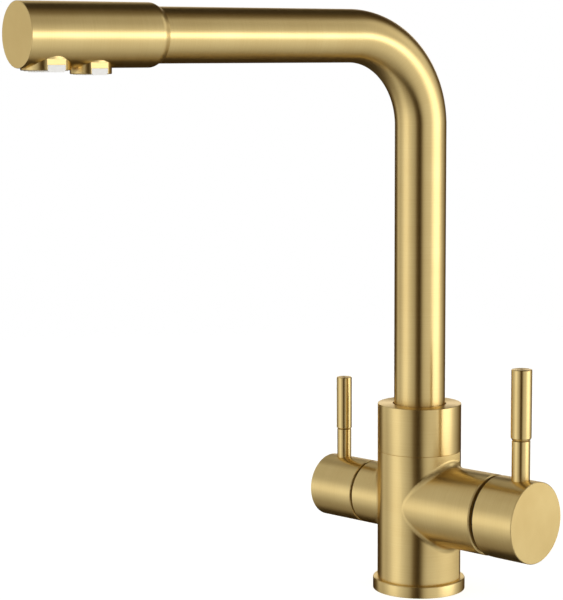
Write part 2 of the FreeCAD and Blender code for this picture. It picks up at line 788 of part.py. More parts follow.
spout_tube = bent_tube("spout_tube", "tube_dia", "tube_dia - 2 * tube_wall", flange_top,
                       "head_start + head_socket_depth")
filtered_water_tube = bent_tube("filtered_water_tube", "filter_tube_dia", "filter_tube_bore",
                                "spigot_boss_top", "filter_tube_reach")

# ---------------------------------------------------------------------------------------------
# Outlet head with its two outlets
# ---------------------------------------------------------------------------------------------

head_r = "head_dia / 2"
socket_r = "tube_dia / 2 + fitting_gap"
bore_end = "head_end - head_end_wall"
socket_end = "head_start + head_socket_depth"

outlet_head = turned_level("outlet_head", [
    ("head_start", socket_r),
    ("head_start", socket_r + " + fitting_gap"),
    ("head_start + shoulder_length", head_r),
    ("head_end", head_r),
    ("head_end", "0"),
    (bore_end, "0"),
    (bore_end, "head_bore / 2"),
    (socket_end, "head_bore / 2"),
    (socket_end, socket_r),
], "spout")
round_rim(outlet_head, "head_shoulder", "shoulder_round",
          size_of("head_start") + size_of("shoulder_length"), size_of("head_dia") / 2, "x")
round_rim(outlet_head, "head_front_edge", "head_edge", size_of("head_end"),
          size_of("head_dia") / 2, "x")
OUTLETS = ("mixed", "filter")
for use in OUTLETS:
    reach = f"{use}_outlet_reach"
    drill(outlet_head, f"{use}_outlet_bed", f"{use}_outlet_dia + 2 * fitting_gap", "head_dia",
          (reach, "0", f"-{use}_outlet_seat"), "-Z")
    drill(outlet_head, f"{use}_outlet_thread", f"{use}_thread_dia + 2 * fitting_gap", "head_dia",
          (reach, "0", f"-{use}_thread_top + fitting_gap"), "-Z")
drill(outlet_head, "elbow_leg_way", "elbow_leg_dia + 2 * fitting_gap", "filter_thread_top",
      ("filter_outlet_reach", "0", "0"), "-Z")


def flats(body, use):
    """Two wrench flats across an outlet, square to the spout, with a notch for the insert's lug."""
    reach = f"{use}_outlet_reach"
    for side, sign in (("right", "-"), ("left", "")):
        corner = f"-{use}_outlet_dia" if sign else f"{use}_outlet_flats / 2"
        span = f"{use}_outlet_dia - {use}_outlet_flats / 2"
        mill(body, f"{use}_flat_{side}",
             (f"{reach} - {use}_outlet_dia", corner, f"-{use}_outlet_rim - outlet_edge"),
             (f"2 * {use}_outlet_dia", span, f"{use}_outlet_rim + outlet_edge - flats_top_{use}"))
        notch = f"-{use}_outlet_dia" if sign else "0"
        mill(body, f"{use}_notch_{side}",
             (f"{reach} - {use}_lug_width / 2 - lug_gap", notch, f"-{use}_outlet_rim - outlet_edge"),
             (f"{use}_lug_width + 2 * lug_gap", f"{use}_outlet_dia",
              f"{use}_outlet_rim + outlet_edge - {use}_lug_top + lug_gap"))


def outlet_housing(use):
    """A turned brass outlet that screws up into the head, hollow for its insert."""
    body = turned_upright(f"{use}_outlet_housing", [
        (f"{use}_throat_dia / 2", f"-{use}_thread_top"),
        (f"{use}_thread_dia / 2", f"-{use}_thread_top"),
        (f"{use}_thread_dia / 2", f"-{use}_outlet_seat"),
        (f"{use}_outlet_dia / 2", f"-{use}_outlet_seat"),
        (f"{use}_outlet_dia / 2", f"-{use}_outlet_rim + outlet_edge"),
        (f"{use}_outlet_dia / 2 - outlet_edge", f"-{use}_outlet_rim"),
        (f"{use}_insert_dia / 2 + lug_gap", f"-{use}_outlet_rim"),
        (f"{use}_insert_dia / 2 + lug_gap", f"-{use}_insert_seat"),
        (f"{use}_throat_dia / 2", f"-{use}_insert_seat"),
    ], "spout", across=f"{use}_outlet_reach")
    flats(body, use)
    return body


def outlet_seal(use):
    """A flat rubber ring between the insert and the housing's inner shoulder."""
    return turned_upright(f"{use}_outlet_seal", [
        (f"{use}_throat_dia / 2 + lug_gap", f"-{use}_insert_seat - outlet_seal_thickness"),
        (f"{use}_insert_dia / 2", f"-{use}_insert_seat - outlet_seal_thickness"),
        (f"{use}_insert_dia / 2", f"-{use}_insert_seat"),
        (f"{use}_throat_dia / 2 + lug_gap", f"-{use}_insert_seat"),
    ], "spout", across=f"{use}_outlet_reach")


def outlet_insert(use, label, hole_count):
    """A white plastic insert: a plug with nozzle holes and two lugs that fill the notches."""
    body = turned_upright(label, [
        ("0", f"-{use}_outlet_rim - {use}_insert_proud"),
        (f"{use}_insert_dia / 2", f"-{use}_outlet_rim - {use}_insert_proud"),
        (f"{use}_insert_dia / 2", f"-{use}_insert_seat - outlet_seal_thickness"),
        ("0", f"-{use}_insert_seat - outlet_seal_thickness"),
    ], "spout", across=f"{use}_outlet_reach")
    lug_side = f"{use}_lug_width / 2"
    lug_bottom = f"-{use}_lug_drop"
    lugs = outline(body, f"{use}_lug_profile", [
        (f"-{lug_side}", f"-{use}_lug_top"),
        (f"-{lug_side}", f"{lug_bottom} + lug_chamfer"),
        (f"lug_chamfer - {lug_side}", lug_bottom),
        (f"{lug_side} - lug_chamfer", lug_bottom),
        (lug_side, f"{lug_bottom} + lug_chamfer"),
        (lug_side, f"-{use}_lug_top"),
    ], across=f"{use}_outlet_reach")
    pad_across(body, f"{use}_lugs", lugs, f"{use}_outlet_flats")
    top = f"-{use}_insert_seat"
    drill(body, f"{use}_nozzle_centre", "nozzle_hole_dia", f"{use}_lug_drop",
          (f"{use}_outlet_reach", "0", top), "-Z")
    for number in range(hole_count):
        angle = f"{FULL_TURN / hole_count * number:g} deg"
        drill(body, f"{use}_nozzle_{number + 1}", "nozzle_hole_dia", f"{use}_lug_drop", (
            f"{use}_outlet_reach + nozzle_hole_circle / 2 * cos({angle})",
            f"nozzle_hole_circle / 2 * sin({angle})",
            top,
        ), "-Z")
    return body


MIXED_NOZZLES = 8
FILTER_NOZZLES = 6
mixed_outlet_housing = outlet_housing("mixed")
mixed_outlet_seal = outlet_seal("mixed")
mixed_aerator_insert = outlet_insert("mixed", "mixed_aerator_insert", MIXED_NOZZLES)
filter_outlet_housing = outlet_housing("filter")
filter_outlet_seal = outlet_seal("filter")
filter_flow_insert = outlet_insert("filter", "filter_flow_insert", FILTER_NOZZLES)

# A woven steel strainer lies on the aerator insert, inside the seal.
screen_foot = "-mixed_insert_seat - outlet_seal_thickness"
aerator_screen = turned_upright("aerator_screen", [
    ("0", screen_foot),
    ("mixed_throat_dia / 2", screen_foot),
    ("mixed_throat_dia / 2", screen_foot + " + screen_thickness"),
    ("0", screen_foot + " + screen_thickness"),
], "spout", across="mixed_outlet_reach")

# The elbow takes the filtered water tube down into its own outlet, inside the head.
filter_elbow = turned_level("filter_elbow", [
    ("elbow_start", "0"),
    ("elbow_start", "elbow_dia / 2"),
    ("elbow_end", "elbow_dia / 2"),
    ("elbow_end", "0"),
], "spout")
round_tool(filter_elbow, "PartDesign::AdditiveCylinder", "elbow_leg", "elbow_leg_dia",
           "elbow_leg_drop", ("filter_outlet_reach", "0", "0"), "-Z")
drill(filter_elbow, "elbow_socket", "filter_tube_dia + fitting_gap", "elbow_socket_depth",
      ("elbow_start", "0", "0"), "+X")
drill(filter_elbow, "elbow_way", "elbow_bore", "filter_outlet_reach - elbow_start",
      ("elbow_start", "0", "0"), "+X")
drill(filter_elbow, "elbow_drop", "elbow_bore", "elbow_leg_drop",
      ("filter_outlet_reach", "0", "0"), "-Z")

# ---------------------------------------------------------------------------------------------
# Mixing cartridge
# ---------------------------------------------------------------------------------------------

PORTS = (
    ("hot", "-port_spread", "-port_drop"),
    ("cold", "port_spread", "-port_drop"),
    ("mixed", "0", "port_rise"),
)
base_start = "cartridge_floor + port_seal_thickness"
fixed_start = base_start + " + cartridge_base_thickness"
moving_start = fixed_start + " + disc_thickness + running_gap"
driver_start = moving_start + " + disc_thickness"
rotor_start = driver_start + " + driver_thickness + rotor_gap"
lid_inside = cartridge_end + " - cartridge_lid"
cartridge_r = "cartridge_dia / 2"

port_rings = []
for name, y, z in PORTS:
    ring = turned_level(f"{name}_port_seal", [
        ("cartridge_floor", "port_dia / 2"),
        ("cartridge_floor", "port_seal_dia / 2"),
        (base_start, "port_seal_dia / 2"),
        (base_start, "port_dia / 2"),
    ], "column")
    bind(ring, {"Placement.Base.y": y, "Placement.Base.z": f"branch_level + ({z})"})
    port_rings.append(ring)
cartridge_port_seals = doc.addObject("Part::Compound", "cartridge_port_seals")
cartridge_port_seals.Links = port_rings


def ported_disc(label, start, thickness, dia):
    """A disc with the cartridge's three ports through it."""
    body = turned_level(label, [
        (start, "0"),
        (start, f"{dia} / 2"),
        (f"{start} + {thickness}", f"{dia} / 2"),
        (f"{start} + {thickness}", "0"),
    ], "mixer")
    for name, y, z in PORTS:
        drill(body, f"{label}_{name}_port", "port_dia", thickness, (start, y, z), "+X")
    return body


cartridge_base = ported_disc("cartridge_base", base_start, "cartridge_base_thickness", "cartridge_dia")
cartridge_fixed_disc = ported_disc("cartridge_fixed_disc", fixed_start, "disc_thickness", "fixed_disc_dia")

cartridge_housing = turned_level("cartridge_housing", [
    (fixed_start, "cartridge_dia / 2 - cartridge_wall"),
    (fixed_start, cartridge_r),
    (cartridge_end, cartridge_r),
    (cartridge_end, "neck_dia / 2 + rotor_gap"),
    (lid_inside, "neck_dia / 2 + rotor_gap"),
    (lid_inside, "cartridge_dia / 2 - cartridge_wall"),
], "mixer")

cartridge_nut = turned_level("cartridge_nut", [
    (cartridge_end, "nut_bore / 2"),
    (cartridge_end, "nut_dia / 2"),
    (cartridge_end + " + nut_thickness", "nut_dia / 2"),
    (cartridge_end + " + nut_thickness", "nut_bore / 2"),
], "mixer")
mill(cartridge_nut, "nut_notches_upright",
     (cartridge_end + " + nut_thickness - nut_notch_depth", "-nut_notch_width / 2", "-nut_dia"),
     ("nut_notch_depth", "nut_notch_width", "2 * nut_dia"))
mill(cartridge_nut, "nut_notches_level",
     (cartridge_end + " + nut_thickness - nut_notch_depth", "-nut_dia", "-nut_notch_width / 2"),
     ("nut_notch_depth", "2 * nut_dia", "nut_notch_width"))

# The moving disc mixes in a hollow on its port side; its driver is slotted for the lever's tip.
cartridge_moving_disc = turned_level("cartridge_moving_disc", [
    (moving_start + " + mixing_hollow_depth", "0"),
    (moving_start + " + mixing_hollow_depth", "mixing_hollow_dia / 2"),
    (moving_start, "mixing_hollow_dia / 2"),
    (moving_start, "moving_disc_dia / 2"),
    (driver_start, "moving_disc_dia / 2"),
    (driver_start, "0"),
], "mixer")
disc_driver = turned_level("disc_driver", [
    (driver_start, "0"),
    (driver_start, "driver_dia / 2"),
    (driver_start + " + driver_thickness", "driver_dia / 2"),
    (driver_start + " + driver_thickness", "0"),
], "mixer")
mill(disc_driver, "driver_slot",
     ("spindle_tip_start - rotor_gap", "-driver_slot_width / 2", "-driver_slot_height / 2"),
     ("driver_thickness", "driver_slot_width", "driver_slot_height"))

cartridge_rotor = turned_level("cartridge_rotor", [
    (rotor_start, "0"),
    (rotor_start, "cartridge_dia / 2 - cartridge_wall - rotor_gap"),
    (lid_inside + " - rotor_gap", "cartridge_dia / 2 - cartridge_wall - rotor_gap"),
    (lid_inside + " - rotor_gap", "neck_dia / 2"),
    ("neck_end", "neck_dia / 2"),
    ("neck_end", "0"),
], "mixer")
mill(cartridge_rotor, "rotor_slot",
     (rotor_start, "-rotor_slot_width / 2", "-rotor_slot_height / 2"),
     ("neck_end - cartridge_floor", "rotor_slot_width", "rotor_slot_height"))
drill(cartridge_rotor, "pivot_hole", "pivot_pin_dia + running_gap", "cartridge_dia",
      ("pivot_reach", "-cartridge_dia / 2", "0"), "+Y")

lever_pivot_pin = new_body("lever_pivot_pin", "mixer")
round_tool(lever_pivot_pin, "PartDesign::AdditiveCylinder", "pivot_pin", "pivot_pin_dia",
           "pivot_pin_length", ("pivot_reach", "-pivot_pin_length / 2", "0"), "+Y")

# ---------------------------------------------------------------------------------------------
# Mixer handle
# ---------------------------------------------------------------------------------------------

mixer_spindle = new_body("mixer_spindle", "mixer")
block_tool(mixer_spindle, "PartDesign::AdditiveBox", "spindle_block",
           ("spindle_block_start", "-spindle_width / 2", "-spindle_width / 2"),
           ("spindle_square_start - spindle_block_start", "spindle_width", "spindle_width"))
block_tool(mixer_spindle, "PartDesign::AdditiveBox", "spindle_square_end",
           ("spindle_square_start", "-spindle_square / 2", "-spindle_square / 2"),
           ("spindle_end - spindle_square_start", "spindle_square", "spindle_square"))
round_tool(mixer_spindle, "PartDesign::AdditiveCylinder", "spindle_tip", "spindle_tip_dia",
           "spindle_block_start - spindle_tip_start", ("spindle_tip_start", "0", "0"), "+X")
drill(mixer_spindle, "spindle_pivot_hole", "pivot_pin_dia + 2 * running_gap", "spindle_square",
      ("pivot_reach", "-spindle_square / 2", "0"), "+Y")

cap_start = "mixer_branch_end + mixer_gap"
cap_end = "mixer_branch_end + mixer_gap + mixer_cap_length"
cap_r = "mixer_branch_dia / 2"
core_start = "mixer_branch_end + mixer_gap + mixer_cavity_depth"

mixer_cap = turned_level("mixer_cap", [
    (cap_start, "mixer_branch_dia / 2 - mixer_cap_wall"),
    (cap_start, "mixer_branch_dia / 2 - cap_edge"),
    (cap_start + " + cap_edge", cap_r),
    (cap_end + " - cap_edge", cap_r),
    (cap_end, "mixer_branch_dia / 2 - cap_edge"),
    (cap_end, "0"),
    (core_start, "0"),
    (core_start, "mixer_cavity_dia / 2"),
    (cap_start + " + mixer_cavity_taper", "mixer_cavity_dia / 2"),
], "mixer")
mill(mixer_cap, "spindle_socket",
     (core_start, "-spindle_square / 2 - running_gap", "-spindle_square / 2 - running_gap"),
     ("spindle_end + seam_gap - (" + core_start + ")",
      "spindle_square + 2 * running_gap", "spindle_square + 2 * running_gap"))
lever_seat = "mixer_branch_dia / 2 - lever_seat_depth"
drill(mixer_cap, "lever_seat", "mixer_rod_dia + 2 * running_gap", "mixer_branch_dia",
      ("mixer_lever_reach", "0", lever_seat), "+Z")
drill(mixer_cap, "lever_thread", "mixer_stud_dia + 2 * running_gap", "lever_stud_length + seam_gap",
      ("mixer_lever_reach", "0", lever_seat + " - lever_stud_length - seam_gap"), "+Z")
drill(mixer_cap, "grub_screw_hole", "grub_screw_dia + 2 * running_gap", "mixer_branch_dia",
      ("grub_screw_reach", "0", "-spindle_square / 2"), "-Z")

# The scoop under the cap, next to the branch, is where the cap tips when the lever is drawn out.
cap_scoop = mill(mixer_cap, "cap_scoop",
                 (cap_start + " + scoop_length", "-mixer_branch_dia / 2", "-mixer_branch_dia / 2"),
                 ("2 * scoop_length", "mixer_branch_dia", "scoop_length"))
cap_scoop.AttachmentOffset.Rotation = FreeCAD.Rotation(FreeCAD.Vector(0, 1, 0), HALF_TURN)
bind(cap_scoop, {"AttachmentOffset.Rotation.Angle": "(180 + scoop_slope) * 1 deg"})


def lever(side, place, centre, cap_radius, stud, chamfer):
    """A lever of two pieces: a rod that screws into the cap, and a thicker grip on its tenon."""
    seat_level = f"{cap_radius} - lever_seat_depth"
    step = f"{side}_grip_start"
    tenon_r = f"{stud} / 2"
    tenon_top = f"{step} + lever_tenon_length"
    rod = turned_upright(f"{side}_lever_rod", [
        ("0", f"{seat_level} - lever_stud_length"),
        (f"{stud} / 2", f"{seat_level} - lever_stud_length"),
        (f"{stud} / 2", seat_level),
        (f"{side}_rod_dia / 2", seat_level),
        (f"{side}_rod_dia / 2", step),
        (tenon_r, step),
        (tenon_r, tenon_top),
        ("0", tenon_top),
    ], place, across=centre)
    grip = turned_upright(f"{side}_lever_grip", [
        (f"{tenon_r} + running_gap", f"{step} + lever_line_gap"),
        (f"{side}_rod_dia / 2 - lever_line_gap", f"{step} + lever_line_gap"),
        (f"{side}_grip_dia / 2", f"{step} + lever_line_gap + {chamfer}"),
        (f"{side}_grip_dia / 2", f"{side}_lever_top"),
        ("0", f"{side}_lever_top"),
        ("0", f"{tenon_top}"),
        (f"{tenon_r} + running_gap", f"{tenon_top}"),
    ], place, across=centre)
    round_rim(grip, f"{side}_grip_top", "grip_round", size_of(f"{side}_lever_top"),
              size_of(f"{side}_grip_dia") / 2, "z")
    return rod, grip


mixer_lever_rod, mixer_lever_grip = lever(
    "mixer", "mixer", "mixer_lever_reach", "mixer_branch_dia / 2", "mixer_stud_dia", "grip_chamfer")


def grub_screw(label, place, reach, dia, top, length):
    """A headless screw under a cap, with a hexagon socket; it bears on the spindle."""
    body = turned_upright(label, [
        ("0", f"-({top}) - ({length})"),
        (f"{dia} / 2", f"-({top}) - ({length})"),
        (f"{dia} / 2", f"-({top})"),
        ("0", f"-({top})"),
    ], place, across=reach)
    socket = body.newObject("PartDesign::SubtractivePrism", label + "_socket")
    socket.AttachmentSupport = (origin_item(body, "XY_Plane"), [""])
    socket.MapMode = "FlatFace"
    socket.Polygon = HEXAGON_SIDES
    bind(socket, {
        "Circumradius": "hex_key_width / sqrt(3)",
        "Height": "hex_key_depth",
        "AttachmentOffset.Base.x": reach,
        "AttachmentOffset.Base.z": f"-({top}) - ({length})",
    })
    return body


mixer_grub_screw = grub_screw("mixer_grub_screw", "mixer", "grub_screw_reach", "grub_screw_dia",
                              "spindle_square / 2", "grub_screw_length")

# ---------------------------------------------------------------------------------------------
# Filtered water valve
# ---------------------------------------------------------------------------------------------

disc_start = "valve_floor + seat_seal_thickness"
turning_start = disc_start + " + valve_disc_thickness + running_gap"
dog_start = turning_start + " + valve_disc_thickness"
valve_groove_r = "valve_bore / 2 - running_gap - valve_seal_section"
shaft_r = "valve_spindle_dia / 2"

valve_seat_seal = turned_level("valve_seat_seal", [
    ("valve_floor", "seat_seal_inner / 2"),
    ("valve_floor", "valve_shell_bore / 2 - running_gap"),
    (disc_start, "valve_shell_bore / 2 - running_gap"),
    (disc_start, "seat_seal_inner / 2"),
], "filter")


def holed_disc(label, start, spots):
    """A ceramic disc with two holes."""
    body = turned_level(label, [
        (start, "0"),
        (start, "valve_disc_dia / 2"),
        (f"{start} + valve_disc_thickness", "valve_disc_dia / 2"),
        (f"{start} + valve_disc_thickness", "0"),
    ], "filter")
    for number, (y, z) in enumerate(spots, start=1):
        drill(body, f"{label}_hole_{number}", "valve_disc_hole", "valve_disc_thickness", (start, y, z), "+X")
    return body


valve_fixed_disc = holed_disc("valve_fixed_disc", disc_start,
                              (("0", "valve_disc_spread"), ("0", "-valve_disc_spread")))
valve_turning_disc = holed_disc("valve_turning_disc", turning_start,
                                (("valve_disc_spread", "0"), ("-valve_disc_spread", "0")))

valve_headwork = turned_level("valve_headwork", [
    (disc_start, "valve_shell_bore / 2"),
    (disc_start, "valve_shell_dia / 2"),
    ("valve_shell_end", "valve_shell_dia / 2"),
    ("valve_shell_end", "valve_bore / 2 - running_gap"),
    ("valve_seal_groove", "valve_bore / 2 - running_gap"),
    ("valve_seal_groove", valve_groove_r),
    ("valve_seal_groove + valve_seal_section + 2 * fitting_gap", valve_groove_r),
    ("valve_seal_groove + valve_seal_section + 2 * fitting_gap", "valve_bore / 2 - running_gap"),
    ("valve_thread_start + fitting_gap", "valve_bore / 2 - running_gap"),
    ("valve_thread_start + fitting_gap", "valve_thread_dia / 2 - running_gap"),
    ("valve_end", "valve_thread_dia / 2 - running_gap"),
    ("valve_end", "valve_spindle_dia / 2 + running_gap"),
    ("valve_shell_end", "valve_spindle_dia / 2 + running_gap"),
    ("valve_shell_end", "valve_shell_bore / 2"),
], "filter")
drill(valve_headwork, "valve_windows", "valve_window_dia", "2 * valve_bore",
      (dog_start + " - valve_disc_thickness / 2", "-valve_bore", "0"), "+Y")

valve_body_seal = seal_ring(
    "valve_body_seal", valve_groove_r + " + valve_seal_section / 2", "valve_seal_section - 2 * seal_gap",
    "-valve_seal_groove - valve_seal_section / 2 - fitting_gap", along="X")

filter_spindle = turned_level("filter_spindle", [
    (dog_start, "0"),
    (dog_start, "valve_disc_dia / 2"),
    ("valve_dog_end", "valve_disc_dia / 2"),
    ("valve_dog_end", shaft_r),
    ("spindle_seal_groove", shaft_r),
    ("spindle_seal_groove", "valve_spindle_dia / 2 - seal_groove_depth"),
    ("spindle_seal_groove + seal_groove_height", "valve_spindle_dia / 2 - seal_groove_depth"),
    ("spindle_seal_groove + seal_groove_height", shaft_r),
    ("clip_groove", shaft_r),
    ("clip_groove", "valve_spindle_dia / 2 - clip_groove_depth"),
    ("clip_groove + clip_thickness + 2 * running_gap", "valve_spindle_dia / 2 - clip_groove_depth"),
    ("clip_groove + clip_thickness + 2 * running_gap", shaft_r),
    ("valve_square_start", shaft_r),
    ("valve_square_start", "0"),
], "filter")
block_tool(filter_spindle, "PartDesign::AdditiveBox", "filter_spindle_square",
           ("valve_square_start", "-valve_square / 2", "-valve_square / 2"),
           ("valve_square_end - valve_square_start", "valve_square", "valve_square"))

spindle_seal = seal_ring(
    "spindle_seal", "valve_spindle_dia / 2 - seal_groove_depth + seal_gap + seal_section / 2",
    "seal_section", "-spindle_seal_groove - seal_groove_height / 2", along="X")

spindle_clip = turned_level("spindle_clip", [
    ("clip_groove + running_gap", "valve_spindle_dia / 2 - clip_groove_depth + running_gap"),
    ("clip_groove + running_gap", "clip_dia / 2"),
    ("clip_groove + running_gap + clip_thickness", "clip_dia / 2"),
    ("clip_groove + running_gap + clip_thickness", "valve_spindle_dia / 2 - clip_groove_depth + running_gap"),
], "filter")
mill(spindle_clip, "clip_mouth", ("clip_groove", "-valve_square / 2", "0"),
     ("clip_thickness + 2 * running_gap", "valve_square", "clip_dia"))

# ---------------------------------------------------------------------------------------------
# Filtered water handle
# ---------------------------------------------------------------------------------------------

filter_cap_start = "filter_branch_end + filter_gap"
filter_cap_end = "filter_branch_end + filter_gap + filter_cap_length"
filter_core = "filter_branch_end + filter_gap + filter_cavity_depth"

filter_cap = turned_level("filter_cap", [
    (filter_cap_start, "filter_cavity_dia / 2"),
    (filter_cap_start, "filter_branch_dia / 2 - filter_rim_edge"),
    (filter_cap_start + " + filter_rim_edge", "filter_branch_dia / 2"),
    (filter_cap_end + " - cap_edge", "filter_branch_dia / 2"),
    (filter_cap_end, "filter_branch_dia / 2 - cap_edge"),
    (filter_cap_end, "0"),
    (filter_core, "0"),
    (filter_core, "filter_cavity_dia / 2"),
], "filter")
mill(filter_cap, "filter_spindle_socket",
     (filter_core, "-valve_square / 2 - running_gap", "-valve_square / 2 - running_gap"),
     ("valve_square_end + seam_gap - (" + filter_core + ")",
      "valve_square + 2 * running_gap", "valve_square + 2 * running_gap"))
filter_seat = "filter_branch_dia / 2 - lever_seat_depth"
drill(filter_cap, "filter_lever_seat", "filter_rod_dia + 2 * running_gap", "filter_branch_dia",
      ("filter_lever_reach", "0", filter_seat), "+Z")
drill(filter_cap, "filter_lever_thread", "filter_stud_dia + 2 * running_gap", "lever_stud_length + seam_gap",
      ("filter_lever_reach", "0", filter_seat + " - lever_stud_length - seam_gap"), "+Z")
drill(filter_cap, "filter_screw_hole", "filter_screw_dia + 2 * running_gap", "filter_branch_dia",
      ("filter_screw_reach", "0", "-valve_square / 2"), "-Z")
filter_lever_rod, filter_lever_grip = lever(
    "filter", "filter", "filter_lever_reach", "filter_branch_dia / 2", "filter_stud_dia",
    "filter_grip_chamfer")
filter_grub_screw = grub_screw("filter_grub_screw", "filter", "filter_screw_reach", "filter_screw_dia",
                               "valve_square / 2", "filter_screw_length")

# ---------------------------------------------------------------------------------------------
# Check every object, then write one file for each sub-part
# ---------------------------------------------------------------------------------------------

NODES = [
    base_gasket, base_ring, body_casting, collar_sleeve, slide_ring, lower_thrust_washer,
    upper_thrust_washer, cartridge_port_seals, cartridge_base, cartridge_fixed_disc,
    cartridge_housing, cartridge_nut, valve_seat_seal, valve_fixed_disc, valve_headwork,
    valve_body_seal, spout_spigot, spigot_seals, nozzle_seal, spout_tube, filtered_water_tube,
    outlet_head, mixed_outlet_housing, mixed_outlet_seal, mixed_aerator_insert, aerator_screen,
    filter_outlet_housing, filter_outlet_seal, filter_flow_insert, filter_elbow,
    cartridge_moving_disc, disc_driver, cartridge_rotor, lever_pivot_pin, mixer_spindle, mixer_cap,
    mixer_lever_rod, mixer_lever_grip, mixer_grub_screw, valve_turning_disc, filter_spindle,
    spindle_seal, spindle_clip, filter_cap, filter_lever_rod, filter_lever_grip, filter_grub_screw,
]

doc.recompute()
for item in doc.Objects:
    if "Invalid" in item.State or "Error" in item.State:
        raise RuntimeError(f"{item.Label} failed: {item.State}")
for node in NODES:
    if node.Shape.isNull() or not node.Shape.isValid() or not node.Shape.Solids:
        raise RuntimeError(f"{node.Label} has no valid shape")

os.makedirs("parts", exist_ok=True)
for node in NODES:
    node.Shape.exportStep(os.path.join("parts", f"{node.Label}.step"))
    print(f"{node.Label}: {len(node.Shape.Solids)} solids, {node.Shape.Volume:.1f} mm3")
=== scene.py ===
import math

import bmesh
import bpy
import numpy as np
from mathutils import Matrix, Vector


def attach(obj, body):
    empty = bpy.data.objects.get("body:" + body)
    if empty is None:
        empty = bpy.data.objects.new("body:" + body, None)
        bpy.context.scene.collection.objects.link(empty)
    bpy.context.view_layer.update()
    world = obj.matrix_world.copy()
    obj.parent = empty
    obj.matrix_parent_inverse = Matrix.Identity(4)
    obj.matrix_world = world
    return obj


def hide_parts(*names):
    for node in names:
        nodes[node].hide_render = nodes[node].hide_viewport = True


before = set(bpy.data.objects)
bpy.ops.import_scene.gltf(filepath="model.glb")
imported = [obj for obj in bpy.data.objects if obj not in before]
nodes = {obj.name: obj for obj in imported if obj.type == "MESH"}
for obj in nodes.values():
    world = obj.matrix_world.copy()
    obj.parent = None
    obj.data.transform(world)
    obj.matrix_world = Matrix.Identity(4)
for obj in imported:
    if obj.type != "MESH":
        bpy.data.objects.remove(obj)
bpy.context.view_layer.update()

# Lengths in this script are in millimetres, in the part's own frame: +Z up, the mixer on +X, and
# the column's axis at X 0, Y 0.


# --- Gasket and seals -----------------------------------------------------------------------
# The base gasket is a flat ring punched from nitrile rubber sheet; it sits in a groove under the
# base ring. The O-rings and flat seals inside the tap are moulded from the same kind of rubber.

MM = 0.001                                  # a millimetre in metres, for meshes and shaders
grain_detail = 3.0
grain_strength = 0.3


def linear(colour):
    """An sRGB hex colour as linear light: c / 12.92 when small, else ((c + 0.055) / 1.055)
    to the power 2.4."""
    channels = np.array([int(colour[n:n + 2], 16) for n in (1, 3, 5)]) / 255
    light = np.where(channels <= 0.04045, channels / 12.92, ((channels + 0.055) / 1.055) ** 2.4)
    return (*light, 1.0)


def add_node(tree, kind, inputs=None, **settings):
    """Adds a node, sets its properties, and gives each of its inputs a value or a link."""
    node = tree.nodes.new(kind)
    for name, value in settings.items():
        setattr(node, name, value)
    for name, value in (inputs or {}).items():
        if isinstance(value, bpy.types.NodeSocket):
            tree.links.new(value, node.inputs[name])
        else:
            node.inputs[name].default_value = value
    return node


def empty_material(name):
    """A node material with nothing in it yet, and its tree."""
    material = bpy.data.materials.new(name)
    material.use_nodes = True
    material.node_tree.nodes.clear()
    return material, material.node_tree


def grained(name, colours, grain, bump, **surface):
    """A material whose colour and relief follow a fine noise; grain and bump are in millimetres,
    and surface gives the shader's other sockets, with _ for a space."""
    material, tree = empty_material(name)
    place = add_node(tree, "ShaderNodeTexCoord")
    noise = add_node(tree, "ShaderNodeTexNoise", {
        "Vector": place.outputs["Object"], "Scale": 1 / (grain * MM), "Detail": grain_detail,
    })
    tone = add_node(tree, "ShaderNodeMix", {
        "Factor": noise.outputs["Fac"], "A": linear(colours[0]), "B": linear(colours[1]),
    }, data_type="RGBA")
    relief = add_node(tree, "ShaderNodeBump", {
        "Height": noise.outputs["Fac"], "Strength": grain_strength, "Distance": bump * MM,
    })
    sockets = {socket.replace("_", " "): value for socket, value in surface.items()}
    shader = add_node(tree, "ShaderNodeBsdfPrincipled", {
        "Base Color": tone.outputs["Result"], "Normal": relief.outputs["Normal"], **sockets,
    })
    add_node(tree, "ShaderNodeOutputMaterial", {"Surface": shader.outputs["BSDF"]})
    return material


def wear(material, *node_names):
    """Gives the named construction nodes a material."""
    for name in node_names:
        nodes[name].data.materials.clear()
        nodes[name].data.materials.append(material)


# Moulded rubber has a soft matt skin, with a grain of about half a millimetre.
rubber = grained(
    "black_nitrile_rubber", ("#131313", "#262525"), grain=0.5, bump=0.03, Roughness=0.6)
wear(rubber, "base_gasket", "cartridge_port_seals", "valve_seat_seal", "valve_body_seal",
     "spigot_seals", "nozzle_seal", "mixed_outlet_seal", "filter_outlet_seal", "spindle_seal")


# --- Base ring ------------------------------------------------------------------------------
# The ring at the foot of the column, turned from brass bar with softened edges, then brushed. It
# holds the gasket in a groove underneath and is bored for the casting's foot.

X = np.array((1.0, 0.0, 0.0))
Z = np.array((0.0, 0.0, 1.0))
merge_distance = 0.001                      # points nearer than this become one
crease_angle = math.radians(30)             # edges that turn more than this stay sharp
tiny = 1e-9                                 # keeps a length of nothing from dividing


